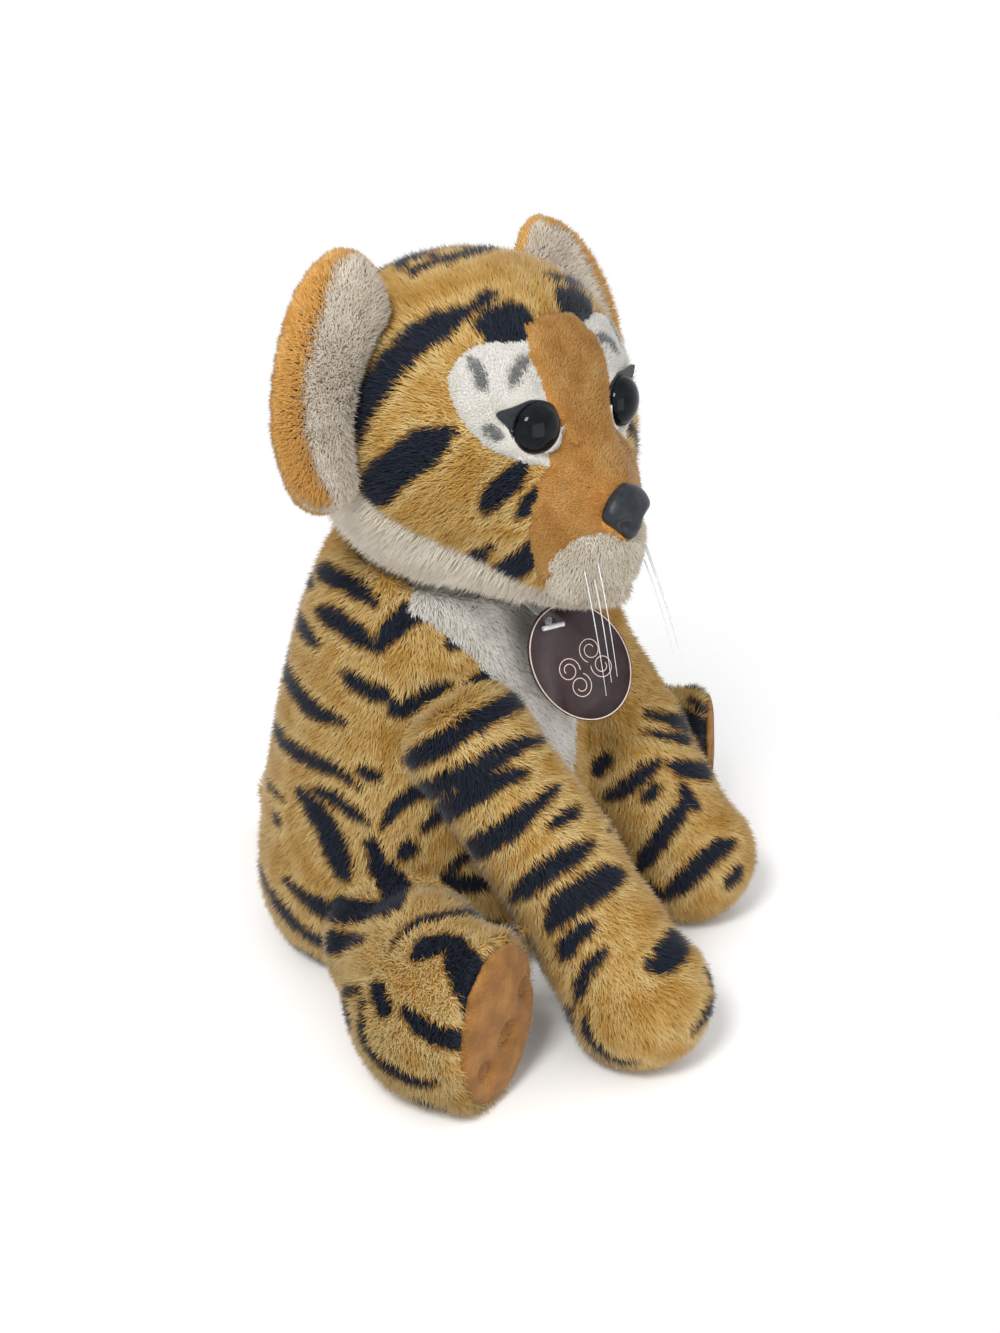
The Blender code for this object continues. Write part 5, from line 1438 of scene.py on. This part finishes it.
def make_eyes(finishes):
    """Domed safety eyes, turned from a profile as the moulding is."""
    yaw, pitch = math.radians(EYE_YAW), math.radians(EYE_PITCH)
    level = math.cos(pitch)
    for letter, side in (("R", -1), ("L", 1)):
        ahead = head_axes() @ Vector((side * math.sin(yaw) * level, -math.cos(yaw) * level, math.sin(pitch)))
        shape = bmesh.new()
        angles = [math.radians(6 * step) for step in range(15)]
        profile = [(0, EYE_DOME)] + [
            (EYE_RADIUS * math.cos(angle), EYE_DOME * math.sin(angle)) for angle in reversed(angles)
        ] + [
            (EYE_RADIUS * EYE_RIM_SHARE, -EYE_FLANGE), (STEM_RADIUS, -EYE_FLANGE),
            (STEM_RADIUS, -STEM_LENGTH), (0, -STEM_LENGTH),
        ]
        verts = [shape.verts.new((radius, 0, height)) for radius, height in profile]
        edges = [shape.edges.new(pair) for pair in zip(verts, verts[1:])]
        bmesh.ops.spin(
            shape, geom=verts + edges, cent=(0, 0, 0), axis=(0, 0, 1), angle=math.tau, steps=EYE_STEPS,
            use_merge=True,
        )
        bmesh.ops.remove_doubles(shape, verts=shape.verts, dist=0.01 * MM)
        bmesh.ops.recalc_face_normals(shape, faces=shape.faces)
        corners = [Vector(vert.co) for vert in nodes[f"eye_{letter}"].data.vertices]
        top = max(corner.dot(ahead) for corner in corners)
        rim = [point for point in corners if top - EYE_DOME * 1.02 < point.dot(ahead) < top - EYE_DOME * 0.9]
        centre = sum(rim, Vector()) / len(rim)
        centre += ahead * (top - EYE_DOME - EYE_SUNK - centre.dot(ahead))
        frame_matrix = Matrix.Translation(centre) @ ahead.to_track_quat("Z", "Y").to_matrix().to_4x4()
        bmesh.ops.transform(shape, matrix=frame_matrix, verts=shape.verts)
        sheet = bmesh.new()
        closed = LINER_SHARES + LINER_SHARES[:1]
        outline = curve_points([(side * x * EYE_RADIUS, y * EYE_RADIUS, 0) for x, y in closed], MM)
        face = sheet.faces.new([sheet.verts.new(spot) for spot in outline[:-1]])
        raised = bmesh.ops.extrude_face_region(sheet, geom=[face])["geom"]
        lifted = [part for part in raised if isinstance(part, bmesh.types.BMVert)]
        bmesh.ops.translate(sheet, vec=(0, 0, -LINER_THICK), verts=lifted)
        bmesh.ops.recalc_face_normals(sheet, faces=sheet.faces)
        bmesh.ops.transform(sheet, matrix=frame_matrix, verts=sheet.verts)
        liner = from_bmesh(f"eye_{letter}_liner", sheet, finishes["liner"])
        liner.data.set_sharp_from_angle(angle=SHARP_ANGLE)
        stands_for(liner, f"eye_liner_{letter}")
        stands_for(from_bmesh(f"eye_{letter}_dome", shape, finishes["eye"]), f"eye_{letter}")


def make_whiskers(finishes):
    """Stiff nylon bristles that thin toward their tips."""
    for letter in "RL":
        for number in (1, 2, 3):
            node = f"whisker_{letter}_{number}"
            places = coordinates(nodes[node].data)
            order = places[np.argsort(-places[:, 2])]
            points = [Vector(group.mean(axis=0)) for group in np.array_split(order, 6)]
            line = curve_points(points, 1.6 * MM)
            radii = [1.25 - 0.85 * index / len(line) for index in range(len(line))]
            stands_for(wire(node + "_bristle", line, WHISKER_THICK, finishes["nylon"], radii, 2), node)


def wire(name, points, thick, finish, radii=None, rounding=1, closed=False):
    """A round wire through some points, as a mesh."""
    curve = bpy.data.curves.new(name, "CURVE")
    curve.dimensions = "3D"
    curve.bevel_depth = thick
    curve.bevel_resolution = rounding
    curve.use_fill_caps = True
    spline = curve.splines.new("POLY")
    spline.points.add(len(points) - 1)
    for index, point in enumerate(points):
        spline.points[index].co = (*point, 1)
        spline.points[index].radius = radii[index] if radii else 1.0
    spline.use_cyclic_u = closed
    item = bpy.data.objects.new(name, curve)
    bpy.context.scene.collection.objects.link(item)
    graph = bpy.context.evaluated_depsgraph_get()
    mesh = bpy.data.meshes.new_from_object(item.evaluated_get(graph), depsgraph=graph)
    bpy.data.objects.remove(item)
    mesh.shade_smooth()
    return place(name, mesh, finish)


def reaches(places, way):
    """The least and the most that some places reach along a way."""
    along = [Vector(place).dot(way) for place in places]
    return min(along), max(along)


def make_tag(finishes):
    """The card hangs a little to its side on the tie. A pale border and four plain scrolls lie on it."""
    places = coordinates(nodes["hang_tag"].data)
    out = Vector(np.linalg.svd(places - places.mean(axis=0))[2][2])
    out *= math.copysign(1, out.dot(BACK))
    pivot = Matrix.Translation(middle_of("tag_tie"))
    hung = pivot @ Matrix.Rotation(TAG_TILT, 4, out) @ pivot.inverted()
    shape = joined(["hang_tag"])
    bmesh.ops.transform(shape, matrix=hung, verts=shape.verts)
    card = from_bmesh("tag_card", shape, finishes["card"])
    card.data.set_sharp_from_angle(angle=SHARP_ANGLE)
    stands_for(card, "hang_tag")
    places = coordinates(card.data)
    long_way, _, out = [Vector(axis) for axis in np.linalg.svd(places - places.mean(axis=0))[2]]
    if out.dot(BACK) < 0:
        out = -out
    if long_way.z < 0:
        long_way = -long_way
    wide_way = long_way.cross(out)
    (low, high), (left, right), (_, top) = [reaches(places, way) for way in (long_way, wide_way, out)]
    half_long, half_wide = (high - low) / 2, (right - left) / 2
    heart = long_way * (high - half_long)
    heart += wide_way * (right - half_wide) + out * (top + 0.02 * MM)

    def on_card(across, up):
        return heart + wide_way * across + long_way * up

    def line(name, points, closed, thick):
        made = wire(name, points, thick, finishes["border"], closed=closed)
        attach(made, "tag")

    steps = 72
    border = []
    for index in range(steps):
        turn = math.tau * index / steps
        border.append(on_card(half_wide * 0.965 * math.cos(turn), half_long * 0.975 * math.sin(turn)))
    line("tag_border", border, True, 0.22 * MM)
    for number, (side, flip) in enumerate(((-1, 1), (1, 1), (-1, -1), (1, -1))):
        scroll = []
        for index in range(40):
            turn = 1.6 * math.tau * index / 39
            radius = half_wide * (0.10 + 0.20 * index / 39)
            across = side * (half_wide * 0.30 + radius * math.cos(turn) * 0.8)
            up = flip * (half_long * 0.16 + radius * math.sin(turn)) - half_long * 0.12
            scroll.append(on_card(across, up))
        line(f"tag_scroll_{number}", scroll, False, 0.16 * MM)


def make_nose_washer(finishes):
    """The press-on washer behind the nose, kept clear of the cloth over it."""
    shape = joined(["nose_washer"])
    middle = Matrix.Translation(middle_of("nose_washer"))
    shrunk = middle @ Matrix.Scale(WASHER_SHARE, 4) @ middle.inverted()
    bmesh.ops.transform(shape, matrix=shrunk, verts=shape.verts)
    stands_for(from_bmesh("nose_washer_pressed", shape, finishes["washer"]), "nose_washer")


def finish_rest(finishes):
    """Materials of the CAD nodes that are shown as they are."""
    shown = {"neck_stuffing": "neck", "eye_washer_R": "washer", "eye_washer_L": "washer", "tag_tie": "nylon"}
    for name, finish in shown.items():
        nodes[name].data.materials.clear()
        nodes[name].data.materials.append(finishes[finish])


# The studio

def floor_finish():
    """White paper that shows the cub's shadow and fades into the white room a hand's breadth farther out."""
    material, tree, principled = shader("white_paper_floor", 0.9, Specular_IOR_Level=0.0)
    paper = ramp(tree, grain(tree, 0.3), ((0.3, "#FAFAFA"), (0.7, "#FDFDFD")))
    tree.links.new(paper, principled.inputs["Base Color"])
    spot = add_node(tree, "ShaderNodeTexCoord").outputs["Object"]
    reach = add_node(tree, "ShaderNodeVectorMath", {0: spot}, operation="LENGTH").outputs["Value"]
    far = add_node(tree, "ShaderNodeMapRange", {
        "Value": reach, "From Min": FLOOR_FADE[0], "From Max": FLOOR_FADE[1],
    }, interpolation_type="SMOOTHSTEP")
    clear = add_node(tree, "ShaderNodeBsdfTransparent")
    mix = add_node(tree, "ShaderNodeMixShader", {
        0: far.outputs["Result"], 1: principled.outputs[0], 2: clear.outputs[0],
    })
    tree.links.new(mix.outputs[0], tree.nodes["Material Output"].inputs["Surface"])
    return material


def make_studio():
    scene = bpy.context.scene
    shape = bmesh.new()
    bmesh.ops.create_grid(shape, x_segments=1, y_segments=1, size=FLOOR_HALF_WIDTH)
    floor = from_bmesh("studio_floor", shape, floor_finish())
    world = bpy.data.worlds.new("studio")
    scene.world = world
    world.use_nodes = True
    tree = world.node_tree
    plain = tree.nodes["Background"]
    plain.inputs["Color"].default_value = (1, 1, 1, 1)
    plain.inputs["Strength"].default_value = ROOM_LIGHT
    white = add_node(tree, "ShaderNodeBackground", {"Color": (1, 1, 1, 1), "Strength": 1.0})
    path = add_node(tree, "ShaderNodeLightPath")
    sight = path.outputs["Is Camera Ray"]
    for kind in ("Is Glossy Ray", "Is Transmission Ray"):
        sight = maths(tree, "MAXIMUM", sight, path.outputs[kind])
    mix = add_node(tree, "ShaderNodeMixShader", {0: sight, 1: plain.outputs[0], 2: white.outputs[0]})
    tree.links.new(mix.outputs[0], tree.nodes["World Output"].inputs["Surface"])
    for name, place_at, size, power in LAMPS:
        lamp = bpy.data.lights.new(name, "AREA")
        lamp.size = size
        lamp.energy = power
        item = bpy.data.objects.new(name, lamp)
        scene.collection.objects.link(item)
        item.location = place_at
        item.rotation_euler = (TARGET - place_at).to_track_quat("-Z", "Y").to_euler()
    scene.view_settings.view_transform = "Standard"


def make_camera():
    camera = bpy.data.cameras.new("camera")
    camera.sensor_width = SENSOR
    camera.lens = FOCAL_PIXELS * SENSOR / PHOTO_HEIGHT
    item = bpy.data.objects.new("camera", camera)
    bpy.context.scene.collection.objects.link(item)
    item.location = EYE_POINT
    item.rotation_euler = BACK.to_track_quat("Z", "Y").to_euler()
    bpy.context.scene.camera = item


make_camera()
make_studio()
finishes = make_finishes()
lock = blade()
make_body(finishes, lock, make_soles(finishes))
make_head(finishes, lock)
make_ears(finishes, lock)
make_fills(finishes)
make_nose(finishes)
make_nose_washer(finishes)
make_eyes(finishes)
make_whiskers(finishes)
make_tag(finishes)
finish_rest(finishes)
bpy.data.objects.remove(lock)
